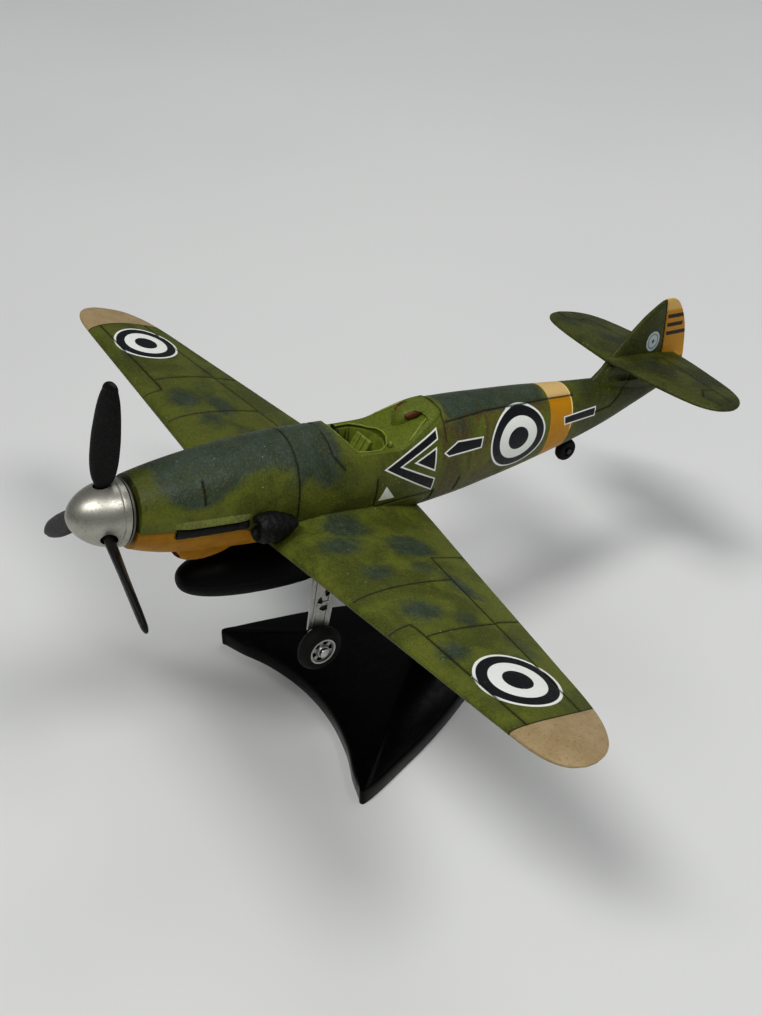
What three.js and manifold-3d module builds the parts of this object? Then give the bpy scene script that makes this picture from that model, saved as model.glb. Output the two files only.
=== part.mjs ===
// A small die-cast propeller aeroplane on a moulded display stand.
// Millimetres, +Z up, nose towards -Y, port wing towards +X. The origin is the middle of the
// stand's underside. The aeroplane has its own frame, with its origin near the spinner tip and
// y running aft; it is pitched nose-up on the stand.
import * as THREE from "three";
import { mergeVertices } from "three/addons/utils/BufferGeometryUtils.js";
import Module from "manifold-3d";

const wasm = await Module();
wasm.setup();

// ---------------------------------------------------------------- driving dimensions
const DEG = Math.PI / 180;
const FIT = 0.15; // clearance between pieces that are pressed together

// Aeroplane on the stand
const PITCH = 11.5 * DEG;
const PLANE_Y = -44.87;
const PLANE_Z = 46.05;

// Thrust line, about which the spinner, propeller and shaft turn
const THRUST_PIVOT = [0, 8, 0.4];
const THRUST_TILT = 4 * DEG;
const SHAFT_RADIUS = 0.5;
const BUSHING_RADIUS = 1.25;

// Wing: height, slopes and thickness as a fraction of the chord
const WING_Z0 = -4.34;
const WING_DIHEDRAL = 0.0954;
const WING_INCIDENCE = 0.054;
const WING_THICKNESS = 0.118;
const WING_CAMBER = 0.018;
const TAILPLANE_Z = 11.5;
const TAIL_POCKET_HALF_SPAN = 6;

const COCKPIT_FRONT = 34.2;
const COCKPIT_REAR = 41.3;
const SILL_Z = 5.4;

const BELLY_SCREW_Y = 58;

// Stand: the stem's top is in the aeroplane's frame, its foot in the stand's frame
const STEM_TOP_Y = 47.6;
const STEM_FOOT_Y = 10;
const BELLY_Z_AT_STEM = -6.1;
const TONGUE = { halfX: 0.95, halfY: 1.7, depth: 2.4, slotGap: 0.2 };

// ---------------------------------------------------------------- measured tables
// Fuselage stations: y, half width, height of greatest width, top, bottom, section exponent
const FUSELAGE = [
  [6.9, 4.25, 0.45, 4.75, -3.95, 2.0],
  [9.0, 4.65, 0.35, 5.25, -4.65, 2.05],
  [12.0, 5.1, 0.3, 5.85, -5.35, 2.1],
  [15.0, 5.4, 0.2, 6.4, -5.7, 2.12],
  [18.0, 5.65, 0.1, 6.85, -5.9, 2.15],
  [21.0, 5.85, 0.0, 7.2, -6.1, 2.15],
  [24.0, 5.95, 0.0, 7.5, -6.3, 2.15],
  [28.0, 5.95, 0.0, 7.75, -6.5, 2.12],
  [32.0, 5.9, 0.1, 7.8, -6.6, 2.08],
  [36.0, 5.85, 0.2, 7.85, -6.6, 2.05],
  [40.0, 5.8, 0.5, 7.95, -6.55, 2.05],
  [44.0, 5.7, 0.85, 8.4, -6.4, 2.05],
  [48.0, 5.6, 1.2, 9.1, -6.0, 2.05],
  [52.0, 5.4, 1.6, 9.35, -5.55, 2.08],
  [56.0, 5.2, 2.0, 9.35, -5.0, 2.1],
  [60.0, 4.9, 2.4, 9.3, -4.3, 2.1],
  [66.0, 4.45, 3.0, 9.2, -3.15, 2.1],
  [72.0, 3.9, 3.6, 8.95, -1.8, 2.1],
  [78.0, 3.25, 4.2, 8.7, -0.35, 2.1],
  [84.0, 2.55, 4.9, 8.6, 1.5, 2.1],
  [90.0, 1.8, 5.8, 8.8, 3.9, 2.0],
  [95.0, 1.15, 6.9, 9.2, 5.9, 2.0],
  [98.2, 0.7, 7.7, 9.6, 7.0, 2.0],
];
// Wing plan: x, leading edge y, trailing edge y
const WING_PLAN = [
  [0, 23.75, 50.4],
  [6, 23.8, 48.8],
  [15, 23.95, 46.15],
  [22.7, 24.05, 43.9],
  [33, 24.2, 40.95],
  [42, 24.3, 38.35],
  [49, 24.4, 36.3],
  [52, 24.5, 35.1],
  [54, 24.8, 33.9],
  [55.5, 25.4, 32.6],
  [56.5, 26.3, 31.1],
  [57.1, 27.7, 29.3],
];
const WING_ROOT_LEADING_EDGE = WING_PLAN[0][1];
// x of the wing sections that are skinned
const WING_STATIONS = [0, 3, 6, 15, 22.7, 33, 42, 47, 50, 52.5, 54.5, 56, 56.8, 57.1];
// Tailplane plan: x, leading edge y, trailing edge y
const TAIL_PLAN = [
  [0, 82.6, 97.0],
  [3, 82.9, 96.8],
  [9, 83.6, 95.9],
  [13, 84.3, 95.1],
  [15.5, 85.0, 94.1],
  [17.2, 86.0, 92.7],
  [18.2, 87.3, 91.1],
  [18.6, 88.7, 89.8],
];
const TAIL_STATIONS = TAIL_PLAN.map(([x]) => x);
// Fin and rudder outline: z, leading edge y, trailing edge y
const FIN_PLAN = [
  [7.2, 79.5, 98.7],
  [8.8, 80.6, 99.3],
  [10.4, 82.1, 99.5],
  [13.0, 84.1, 98.9],
  [15.9, 86.7, 97.9],
  [17.9, 88.6, 96.8],
  [19.2, 90.2, 95.8],
  [20.1, 91.5, 94.8],
  [20.45, 92.4, 94.0],
];
// Chin cowl outline: y, z, then the direction in which y and z grow with the clearance
const CHIN_OUTLINE = [
  [7.1, -0.3, -1, 1],
  [11.3, -0.3, 1, 1],
  [11.3, -1.6, 1, 1],
  [15.5, -1.7, 0, 1],
  [20.3, -2.4, 0, 1],
  [22.8, -4.2, 1, 1],
  [23.3, -7.5, 1, 0],
  [21, -11, 0, 0],
  [7.1, -11, -1, 0],
];
// Belly pan outline, its seam first: same columns
const BELLY_OUTLINE = [
  [24.4, -5.2, -1, 1],
  [44, -4.5, 0, 1],
  [50, -3.3, 0, 1],
  [56, -2.2, 0, 1],
  [62, -0.9, 0, 1],
  [70, 0.6, 0, 1],
  [76.5, 2.0, 1, 1],
  [76.5, -12, 1, 0],
  [24.4, -12, -1, 0],
];
// Chin scoop, evenly spaced from front to rear: half width, extra drop
const SCOOP = [
  [2.5, 1.0],
  [2.9, 1.25],
  [3.1, 1.35],
  [3.15, 1.32],
  [3.1, 1.2],
  [3.0, 1.0],
  [2.8, 0.75],
  [2.5, 0.4],
  [2.1, 0.0],
];
// Supercharger intake profile: radius, y
const INTAKE_PROFILE = [
  [0, 21.9],
  [0.9, 21.9],
  [1.0, 21.3],
  [1.35, 21.1],
  [1.72, 21.5],
  [1.92, 22.3],
  [1.88, 23.3],
  [1.62, 24.5],
  [1.15, 25.7],
  [0.6, 26.6],
  [0, 27.0],
];
// Propeller blade: radius, chord, thickness, pitch in degrees
const BLADE = [
  [1.2, 1.3, 1.2, 50],
  [3.4, 1.6, 1.2, 46],
  [4.4, 2.7, 1.0, 43],
  [5.4, 3.3, 0.9, 41],
  [7.0, 3.75, 0.8, 39],
  [9.0, 3.85, 0.7, 36],
  [11.5, 3.55, 0.6, 33],
  [13.6, 2.95, 0.52, 31],
  [15.0, 2.1, 0.45, 30],
  [15.7, 1.3, 0.4, 29],
  [16.0, 0.5, 0.3, 29],
];
// Port half of the base plan, front to rear: x, y
const BASE_HALF_PLAN = [
  [0, -13.1],
  [5.5, -13.55],
  [11, -14.95],
  [15.2, -16.75],
  [18.2, -17.75],
  [19.1, -18.1],
  [19.5, -17.4],
  [18.9, -14.6],
  [17.6, -10.2],
  [15.9, -4.8],
  [13.7, 1.0],
  [10.9, 7.0],
  [7.6, 12.6],
  [4.0, 16.8],
  [0, 18.5],
];

// ---------------------------------------------------------------- materials
const BLACK = 0x141414;
const SILVER = 0xa9a9a4;
const FINISH = {
  olive: { color: 0x56602a, roughness: 0.55 },
  yellow: { color: 0xe0961c, roughness: 0.5 },
  exhaust: { color: BLACK, roughness: 0.6 },
  bellyPan: { color: 0x39421f, roughness: 0.6 },
  radiator: { color: 0x46501f, roughness: 0.6 },
  intake: { color: BLACK, roughness: 0.45 },
  tank: { color: BLACK, roughness: 0.4 },
  rack: { color: 0x2b2f24, roughness: 0.6 },
  cockpit: { color: 0x8a9a45, roughness: 0.6 },
  seat: { color: 0x7c8c3c, roughness: 0.6 },
  panel: { color: 0x23261c, roughness: 0.6 },
  gunsight: { color: 0x1c1d18, roughness: 0.4 },
  leather: { color: 0x5a3418, roughness: 0.7 },
  brightSilver: { color: SILVER, roughness: 0.35, metalness: 0.9 },
  backplate: { color: 0x8f8f8a, roughness: 0.4, metalness: 0.9 },
  propeller: { color: 0x17181a, roughness: 0.45 },
  shaft: { color: SILVER, roughness: 0.3, metalness: 1 },
  brass: { color: 0xb08a3c, roughness: 0.35, metalness: 1 },
  gear: { color: SILVER, roughness: 0.4, metalness: 0.8 },
  gearDoor: { color: 0x9b9c96, roughness: 0.45, metalness: 0.7 },
  axle: { color: SILVER, roughness: 0.3, metalness: 0.9 },
  tyre: { color: 0x111111, roughness: 0.8 },
  tailStrut: { color: 0x33351f, roughness: 0.6 },
  tailAxle: { color: SILVER, roughness: 0.4, metalness: 0.9 },
  tailWheel: { color: 0x121212, roughness: 0.7 },
  base: { color: 0x0c0c0d, roughness: 0.25 },
  stem: { color: 0x0e0e0f, roughness: 0.3 },
};

// ---------------------------------------------------------------- solids
// A closed geometry as a manifold solid, turned right side out if it is inside out.
function solid(geometry) {
  const bare = geometry.clone();
  bare.deleteAttribute("normal");
  bare.deleteAttribute("uv");
  const merged = mergeVertices(bare, 1e-4);
  const triVerts = new Uint32Array(merged.index.array);
  const vertProperties = new Float32Array(merged.attributes.position.array);
  const make = () =>
    new wasm.Manifold(new wasm.Mesh({ numProp: 3, vertProperties, triVerts }));
  const made = make();
  if (made.volume() >= 0) return made;
  for (let i = 0; i < triVerts.length; i += 3) {
    [triVerts[i + 1], triVerts[i + 2]] = [triVerts[i + 2], triVerts[i + 1]];
  }
  return make();
}
function geometryOf(body) {
  const mesh = body.getMesh();
  const stride = mesh.numProp;
  const positions = new Float32Array(mesh.numVert * 3);
  for (let i = 0; i < mesh.numVert; i++) {
    positions.set(mesh.vertProperties.subarray(i * stride, i * stride + 3), i * 3);
  }
  const geometry = new THREE.BufferGeometry();
  geometry.setAttribute("position", new THREE.BufferAttribute(positions, 3));
  geometry.setIndex(new THREE.BufferAttribute(new Uint32Array(mesh.triVerts), 1));
  return geometry;
}
const join = (...bodies) => bodies.reduce((all, body) => all.add(body));
const cut = (body, ...cutters) => cutters.reduce((rest, cutter) => rest.subtract(cutter), body);
// The largest body of a solid: a cut can leave slivers behind.
const largest = (body) =>
  body.decompose().reduce((best, part) => (part.volume() > best.volume() ? part : best));

function addPiece(group, name, body, finish) {
  const mesh = new THREE.Mesh(geometryOf(largest(body)), new THREE.MeshStandardMaterial(finish));
  mesh.name = name;
  group.add(mesh);
}

// Paired pieces are modelled on the port side and mirrored for the starboard side.
const SIDES = ["port", "starboard"];
const toSide = (side, portBody) => (side === "port" ? portBody : portBody.mirror([1, 0, 0]));

const span = (centre, half) => [centre - half, centre + half];
const shifted = (point, offset) => point.map((value, i) => value + offset[i]);
const evenly = (from, to, steps) =>
  Array.from({ length: steps + 1 }, (_, i) => from + ((to - from) * i) / steps);
const vectors = (points) => points.map(([x, y]) => new THREE.Vector2(x, y));

function box([x0, x1], [y0, y1], [z0, z1]) {
  const geometry = new THREE.BoxGeometry(x1 - x0, y1 - y0, z1 - z0);
  geometry.translate((x0 + x1) / 2, (y0 + y1) / 2, (z0 + z1) / 2);
  return solid(geometry);
}
// A round bar between two points, tapered if an end radius is given.
function bar(from, to, radius, segments, endRadius = radius) {
  const start = new THREE.Vector3(...from);
  const end = new THREE.Vector3(...to);
  const length = start.distanceTo(end);
  const geometry = new THREE.CylinderGeometry(endRadius, radius, length, segments);
  const direction = end.clone().sub(start).normalize();
  const up = new THREE.Vector3(0, 1, 0);
  geometry.applyQuaternion(new THREE.Quaternion().setFromUnitVectors(up, direction));
  geometry.translate(...start.add(end).multiplyScalar(0.5).toArray());
  return solid(geometry);
}
const barX = ([x0, x1], y, z, radius, segments) => bar([x0, y, z], [x1, y, z], radius, segments);
const barZ = (x, y, [z0, z1], radius, segments) => bar([x, y, z0], [x, y, z1], radius, segments);

// A turned piece about the y axis: pairs of radius and y, from axis to axis or a closed loop.
const turned = (points, segments) => solid(new THREE.LatheGeometry(vectors(points), segments));
const rod = (radius, [y0, y1]) => turned([[0, y0], [radius, y0], [radius, y1], [0, y1]], 24);
const closed = (points) => [...points, points[0]];
const tube = (inner, outer, [y0, y1], segments) =>
  turned(closed([[inner, y0], [outer, y0], [outer, y1], [inner, y1]]), segments);

// A shape drawn in the y-z plane and extruded along x, centred on x = 0.
function extrudedYZ(shape, depth, options) {
  const geometry = new THREE.ExtrudeGeometry(shape, { depth, ...options });
  geometry.translate(0, 0, -depth / 2);
  const axes = new THREE.Matrix4().set(0, 0, 1, 0, 1, 0, 0, 0, 0, 1, 0, 0, 0, 0, 0, 1);
  return solid(geometry.applyMatrix4(axes));
}
const plateYZ = (points, halfWidth) =>
  extrudedYZ(new THREE.Shape(vectors(points)), 2 * halfWidth, { bevelEnabled: false });
// A plate wider than the fuselage, from an outline with growth directions.
const region = (outline, grow) =>
  plateYZ(outline.map(([y, z, growY, growZ]) => [y + growY * grow, z + growZ * grow]), 9);

// Moves every vertex of a geometry and makes it a solid.
function reshaped(geometry, move) {
  const position = geometry.attributes.position;
  for (let i = 0; i < position.count; i++) {
    position.setXYZ(i, ...move(position.getX(i), position.getY(i), position.getZ(i)));
  }
  return solid(geometry);
}
const unitBox = (...segments) => new THREE.BoxGeometry(1, 1, 1, ...segments);

// A body skinned over stations along an axis: a capped cylinder, one ring to a station.
function skin(axis, around, stations, rimPoint, capCentre) {
  const steps = stations.length - 1;
  return reshaped(new THREE.CylinderGeometry(1, 1, 1, around, steps), (x, y, z) => {
    const t = axis === "y" ? 0.5 - y : 0.5 + y;
    const station = stations[Math.round(t * steps)];
    if (Math.hypot(x, z) < 1e-6) return capCentre(station);
    return rimPoint(station, Math.atan2(axis === "z" ? z : -z, x));
  });
}
const power = (value, exponent) => Math.sign(value) * Math.pow(Math.abs(value), exponent);

// A table's other columns at a value of its first: monotone cubic between rows, held at the ends.
function tableAt(rows, value) {
  const index = rows.findIndex((row) => value <= row[0]);
  if (index === 0) return rows[0].slice(1);
  if (index < 0) return rows.at(-1).slice(1);
  const [before, start, end, after] = [-2, -1, 0, 1].map((step) => rows[index + step]);
  const width = end[0] - start[0];
  const t = (value - start[0]) / width;
  const t2 = t * t;
  const t3 = t2 * t;
  const harmonic = (p, q) => (p * q <= 0 ? 0 : (2 * p * q) / (p + q));
  return start.slice(1).map((_, i) => {
    const column = i + 1;
    const slope = (from, to) => (to[column] - from[column]) / (to[0] - from[0]);
    const middle = slope(start, end);
    const startSlope = before ? harmonic(slope(before, start), middle) : middle;
    const endSlope = after ? harmonic(middle, slope(end, after)) : middle;
    return (
      (2 * t3 - 3 * t2 + 1) * start[column] +
      (t3 - 2 * t2 + t) * width * startSlope +
      (-2 * t3 + 3 * t2) * end[column] +
      (t3 - t2) * width * endSlope
    );
  });
}

// A cross-head screw pointing up, on x = 0.
function screw({ y, bottom, headTop, headRadius, headSegments, shankTop, slot }) {
  const slotZ = [bottom - 0.4, slot.top];
  return cut(
    join(
      barZ(0, y, [bottom, headTop], headRadius, headSegments),
      barZ(0, y, [bottom, shankTop], 0.5, 16),
    ),
    box(span(0, slot.halfLength), span(y, slot.halfWidth), slotZ),
    box(span(0, slot.halfWidth), span(y, slot.halfLength), slotZ),
  );
}

// ---------------------------------------------------------------- fuselage skin
function fuselageSkin([y0, y1], around, along, grow = 0) {
  return skin(
    "y",
    around,
    evenly(y0, y1, along),
    (y, angle) => {
      const [halfWidth, midZ, top, bottom, exponent] = tableAt(FUSELAGE, y);
      const sine = Math.sin(angle);
      const height = sine >= 0 ? top - midZ : midZ - bottom;
      return [
        (halfWidth + grow) * power(Math.cos(angle), 2 / exponent),
        y,
        midZ + (height + grow) * power(sine, 2 / exponent),
      ];
    },
    (y) => [0, y, tableAt(FUSELAGE, y)[1]],
  );
}

// ---------------------------------------------------------------- aerofoil bodies
// Half thickness of a four-digit aerofoil of unit thickness, at a fraction of the chord.
const aerofoil = (f) =>
  5 * (0.2969 * Math.sqrt(f) - 0.126 * f - 0.3516 * f ** 2 + 0.2843 * f ** 3 - 0.1015 * f ** 4);
// Chord fraction at an angle round a section, and the face: +1, -1, or 0 on the edges.
function roundFoil(angle) {
  const sine = Math.sin(angle);
  return [(1 + Math.cos(angle)) / 2, Math.abs(sine) < 1e-6 ? 0 : Math.sign(sine)];
}
// Stations from tip to tip, given those from the centre to one tip.
const tipToTip = (stations) => [
  ...stations.slice(1).reverse().map((x) => -x),
  ...stations,
];

function wingPoint(x, angle, grow = 0) {
  const [leading, trailing] = tableAt(WING_PLAN, Math.abs(x));
  const chord = trailing - leading;
  const [f, face] = roundFoil(angle);
  const camber = WING_CAMBER * 4 * f * (1 - f) * chord;
  const edge = 0.06 * Math.min(1, chord / 8);
  const half = aerofoil(f) * WING_THICKNESS * chord + edge + grow;
  const y = leading - grow + f * (chord + 2 * grow);
  const drop = WING_INCIDENCE * (y - WING_ROOT_LEADING_EDGE);
  return [x, y, WING_Z0 + WING_DIHEDRAL * Math.abs(x) - drop + camber + half * face];
}
// Height of the wing's underside.
function wingBottom(x, y) {
  const [leading, trailing] = tableAt(WING_PLAN, Math.abs(x));
  const f = (y - leading) / (trailing - leading);
  return wingPoint(x, -Math.acos(2 * f - 1))[2];
}
function wingSkin(grow = 0) {
  return skin(
    "x",
    22,
    tipToTip(WING_STATIONS),
    (x, angle) => wingPoint(x, angle, grow),
    (x) => {
      const [, rearY, rearZ] = wingPoint(x, 0, grow);
      const [, frontY, frontZ] = wingPoint(x, Math.PI, grow);
      return [x, (rearY + frontY) / 2, (rearZ + frontZ) / 2 + 0.02];
    },
  );
}
function tailplaneSkin(stations, grow = 0) {
  return skin(
    "x",
    18,
    tipToTip(stations),
    (x, angle) => {
      const [leading, trailing] = tableAt(TAIL_PLAN, Math.abs(x));
      const chord = trailing - leading;
      const [f, face] = roundFoil(angle);
      return [
        x,
        leading - grow + f * (chord + 2 * grow),
        TAILPLANE_Z + face * (aerofoil(f) * 0.085 * chord + 0.07 + grow),
      ];
    },
    (x) => {
      const [leading, trailing] = tableAt(TAIL_PLAN, Math.abs(x));
      return [x, (leading + trailing) / 2, TAILPLANE_Z];
    },
  );
}
function finSkin() {
  return skin(
    "z",
    14,
    FIN_PLAN,
    ([z, leading, trailing], angle) => {
      const chord = trailing - leading;
      const [f, face] = roundFoil(angle);
      const half = aerofoil(f) * 0.1 * Math.min(chord, 15) + 0.08;
      return [face * half, leading + f * chord, z];
    },
    ([z, leading, trailing]) => [0, (leading + trailing) / 2, z],
  );
}
const wingPocket = wingSkin(FIT);

// ---------------------------------------------------------------- groups
const root = new THREE.Group();
const aeroplane = new THREE.Group();
aeroplane.rotation.x = -PITCH;
aeroplane.position.set(0, PLANE_Y, PLANE_Z);
root.add(aeroplane);

const thrust = new THREE.Group();
thrust.position.set(...THRUST_PIVOT);
thrust.rotation.x = -THRUST_TILT;
aeroplane.add(thrust);
thrust.updateMatrix();
// A solid given in the thrust group's frame, moved into the aeroplane's frame.
const inAeroplane = (body) => body.transform(thrust.matrix.elements);

// ---------------------------------------------------------------- nose
// Port exhaust strip, with a rippled outer face; it lies in a shallow pocket along the nose.
function exhaust(grow = 0) {
  const front = 11.5 - grow;
  const length = 20.6 + grow - front;
  return reshaped(unitBox(1, 14, 1), (unitX, unitY, unitZ) => {
    const t = unitY + 0.5;
    const y = front + length * t;
    const top = -0.25 + 0.01 * (y - front) + grow;
    const bottom = -1.35 + 0.03 * (y - front) - grow;
    const z = unitZ > 0 ? top : bottom;
    const [halfWidth, midZ, , bellyZ, exponent] = tableAt(FUSELAGE, y);
    const depth = Math.max(Math.min(0.99, (midZ - z) / (midZ - bellyZ)), 0);
    const skinX = halfWidth * Math.pow(1 - Math.pow(depth, exponent), 1 / exponent);
    const ripple = 0.08 * Math.cos(t * 12 * Math.PI);
    return [skinX + (unitX > 0 ? 0.42 + ripple + grow : -0.9 - grow), y, z];
  });
}
// Port ledge above the exhaust strip, tapered at both ends.
function ledge() {
  return reshaped(unitBox(1, 10, 1), (unitX, unitY, unitZ) => {
    const t = unitY + 0.5;
    const y = 11.2 + 9.9 * t;
    const fullness = Math.min(1, Math.min(t, 1 - t) * 6);
    const isTop = unitZ > 0;
    const lip = isTop ? -0.1 : 0.5 * fullness - 0.12 * (1 - fullness);
    const halfWidth = tableAt(FUSELAGE, y)[0];
    return [halfWidth + (unitX > 0 ? lip : -1.0), y, isTop ? 0.75 : 0.01 * (y - 11)];
  });
}
function scoop() {
  const front = 13.8;
  const length = 8.6;
  const midZ = -4.6;
  const stations = SCOOP.map(([halfWidth, drop], i) => {
    const y = front + (length * i) / (SCOOP.length - 1);
    return { y, halfWidth, drop };
  });
  return skin(
    "y",
    20,
    stations,
    ({ y, halfWidth, drop }, angle) => {
      const sine = Math.sin(angle);
      const height = sine > 0 ? 0.9 : 1.15 + drop;
      return [halfWidth * power(Math.cos(angle), 0.75), y, midZ + height * power(sine, 0.75)];
    },
    ({ y }) => [0, y, midZ],
  );
}
// The part of the nose below a stepped line, with a scoop under it.
function chinCowl() {
  const outline = region(CHIN_OUTLINE, 0);
  return cut(
    join(fuselageSkin([7.1, 24], 32, 7).intersect(outline), scoop().intersect(outline)),
    box(span(0, 2), [12.6, 15.0], [-6.75, -5.95]), // scoop mouth
    fuselageSkin([6, 26], 20, 5, -1.4), // hollow behind the skin
  );
}
const chinPocket = () =>
  join(fuselageSkin([7.0, 24.2], 20, 5, 0.5), scoop()).intersect(region(CHIN_OUTLINE, FIT));

// ---------------------------------------------------------------- fuselage shell
const TUB = {
  halfWidth: 3.35,
  front: COCKPIT_FRONT + 0.55,
  rear: COCKPIT_REAR - 0.1,
  floor: 0.2,
};
// Everything above the sill, from the cockpit front to the end of the fairing
const CANOPY_OUTLINE = [
  [COCKPIT_FRONT - 0.9, 12],
  [COCKPIT_FRONT, SILL_Z],
  [50.6, SILL_Z],
  [49.6, 8.3],
  [49.3, 12],
];
// A raised fairing behind the cockpit.
function fairing() {
  const front = COCKPIT_REAR - 0.4;
  const length = 50.4 - front;
  const midZ = 4.2;
  return skin(
    "y",
    28,
    evenly(0, 1, 10),
    (t, angle) => {
      const top = 6.35 + 2.75 * Math.pow(t, 0.85);
      const halfWidth = 3.75 + 0.85 * t;
      const sine = Math.sin(angle);
      return [
        halfWidth * power(Math.cos(angle), 0.95),
        front + length * t,
        midZ + (sine >= 0 ? top - midZ : 1.5) * sine,
      ];
    },
    (t) => [0, front + length * t, midZ],
  );
}
// A bar through the port side of the fairing, on which the headrest opening is centred.
const headrestBar = (radius) => bar([-1.0, 46.6, 7.9], [9, 46.6, 9.3], radius, 12);

function fuselageShell() {
  const ledges = SIDES.map((side) => toSide(side, ledge()));
  const hull = join(fuselageSkin([6.9, 98.2], 32, 26), ...ledges);
  const tubPocket = box(
    span(0, TUB.halfWidth + FIT),
    [TUB.front - FIT, TUB.rear + FIT],
    [TUB.floor - FIT, 12],
  );
  const tailPocketStations = [
    ...TAIL_STATIONS.filter((x) => x < TAIL_POCKET_HALF_SPAN),
    TAIL_POCKET_HALF_SPAN,
  ];
  return cut(
    join(cut(hull, plateYZ(CANOPY_OUTLINE, 9)), fairing(), finSkin()),
    tubPocket,
    headrestBar(1.1).intersect(box([0.2, 9], [44.8, 48.4], [6.5, 11])),
    chinPocket(),
    region(BELLY_OUTLINE, FIT),
    wingPocket,
    tailplaneSkin(tailPocketStations, FIT),
    ...SIDES.map((side) => toSide(side, exhaust(FIT))),
    inAeroplane(rod(BUSHING_RADIUS + FIT, [-1.5, 6.4])),
    inAeroplane(rod(6, [-3, -0.75])), // flat face behind the spinner
    barZ(0, BELLY_SCREW_Y, [-4, -1.2], 0.65, 12),
  );
}

// ---------------------------------------------------------------- belly pan
const tongueSlot = (top) =>
  box(
    span(0, TONGUE.halfX + TONGUE.slotGap),
    span(STEM_TOP_Y, TONGUE.halfY + TONGUE.slotGap),
    [-9, top],
  );
// The lower rear fuselage between the wing and the tail wheel.
function bellyPan() {
  return cut(
    fuselageSkin([23.5, 78], 32, 15).intersect(region(BELLY_OUTLINE, 0)),
    wingPocket,
    tongueSlot(-2.5),
    barZ(0, BELLY_SCREW_Y, [-9, -3.9], 1.35, 24), // screw head recess
    barZ(0, BELLY_SCREW_Y, [-9, 2], 0.65, 16),
  );
}
const bellyScrew = () =>
  screw({
    y: BELLY_SCREW_Y,
    bottom: -4.6,
    headTop: -3.95,
    headRadius: 1.2,
    headSegments: 24,
    shankTop: -1.6,
    slot: { top: -4.35, halfLength: 0.9, halfWidth: 0.18 },
  });

// ---------------------------------------------------------------- wing
// Port recess under the wing: a round wheel well and a straight trough for the leg.
function wheelWell() {
  const [x, y] = [23.2, 31.4];
  const bottom = wingBottom(x, y);
  const trough = new THREE.BoxGeometry(15.5, 1.9, 2.4);
  trough.rotateY(-Math.atan(WING_DIHEDRAL));
  trough.translate(15.2, 31.2, wingBottom(14, 30.5) - 0.45);
  return join(barZ(x, y, [bottom - 1.5, bottom + 0.75], 3.1, 24), solid(trough));
}
function wing() {
  const wells = SIDES.map((side) => toSide(side, wheelWell()));
  return cut(wingSkin(), ...wells, tongueSlot(BELLY_Z_AT_STEM + TONGUE.depth + 0.5));
}
// Port radiator housing, its top following the wing's underside.
function radiator() {
  const inner = 9.2;
  const outer = 16.4;
  const front = 34.8;
  const length = 9.0;
  const wall = 0.5;
  const housing = reshaped(unitBox(4, 8, 1), (unitX, unitY, unitZ) => {
    const x = inner + (outer - inner) * (unitX + 0.5);
    const t = unitY + 0.5;
    const y = front + length * t;
    const top = wingBottom(x, y) - 0.06;
    const depth = 1.35 * Math.sin(Math.PI * Math.min(1, 0.24 + 0.76 * t)) + 0.15;
    return [x, y, unitZ > 0 ? top : top - depth];
  });
  const mouthZ = wingBottom(12, 35);
  const mouth = box(
    [inner + wall, outer - wall],
    [34, 35.8],
    [mouthZ - 1.05, mouthZ - 0.15],
  );
  return cut(housing, mouth);
}

// ---------------------------------------------------------------- supercharger intake, port side
function superchargerIntake() {
  return cut(
    turned(INTAKE_PROFILE, 24).translate([6.75, 0, -0.95]),
    fuselageSkin([19, 29], 32, 4, FIT),
    exhaust(FIT),
    wingPocket,
  );
}

// ---------------------------------------------------------------- drop tank and rack
// The tank, blunter in front; the gap widens it and the stretch lengthens it.
function dropTank(gap = 0, stretch = 1) {
  const radius = 3.7;
  const halfLength = 14.2;
  const profile = evenly(0, Math.PI, 14).map((angle, i, angles) => {
    const along = -Math.cos(angle);
    const y = halfLength * along * stretch;
    if (i === 0 || i === angles.length - 1) return [0, y];
    return [radius * Math.pow(Math.sin(angle), along < 0 ? 0.72 : 0.95) + gap, y];
  });
  return turned(profile, 22).translate([0, 29.3, -11.1]);
}
function tankRack() {
  const outline = [
    [24.6, -6.0],
    [39.4, -6.0],
    [37.6, -8.6],
    [26.6, -8.6],
  ];
  return cut(
    plateYZ(outline, 0.9),
    fuselageSkin([20, 45], 32, 8, 0.12),
    dropTank(0.12, 1.02),
    wingPocket,
  );
}

// ---------------------------------------------------------------- cockpit
function cockpitTub() {
  const { halfWidth, front, rear, floor } = TUB;
  const wall = 0.35;
  return cut(
    box(span(0, halfWidth), [front, rear], [floor, SILL_Z - 0.35]),
    box(span(0, halfWidth - wall), [front + 0.3, rear - wall], [floor + 0.5, 12]),
  );
}
function pilotSeat() {
  const halfWidth = 1.35;
  const back = [
    [38.8, 0.75],
    [39.3, 0.75],
    [40.2, 5.2],
    [39.8, 5.2],
  ];
  return join(
    box(span(0, halfWidth), [37.0, 39.2], [1.1, 1.6]), // pan
    plateYZ(back, halfWidth),
    ...[-halfWidth, halfWidth].map((x) => box(span(x, 0.15), [37.3, 39.4], [1.1, 2.6])),
    box(span(0, 0.9), [37.4, 38.9], [0.75, 1.2]), // block under the pan
  );
}
const instrumentPanel = () => box(span(0, 2.6), [TUB.front + 0.38, TUB.front + 0.95], [2.2, 5.3]);
const gunsight = () =>
  join(
    box(span(0, 0.55), [TUB.front + 0.25, TUB.front + 1.2], [5.36, 6.25]),
    box(span(0, 0.4), [TUB.front + 0.55, TUB.front + 0.8], [6.0, 7.2]),
  );
// Padded headrest seen through the opening in the fairing.
const headrest = () => box([0.4, 1.9], [45.7, 47.5], [7.0, 9.2]).intersect(headrestBar(0.85));

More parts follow.
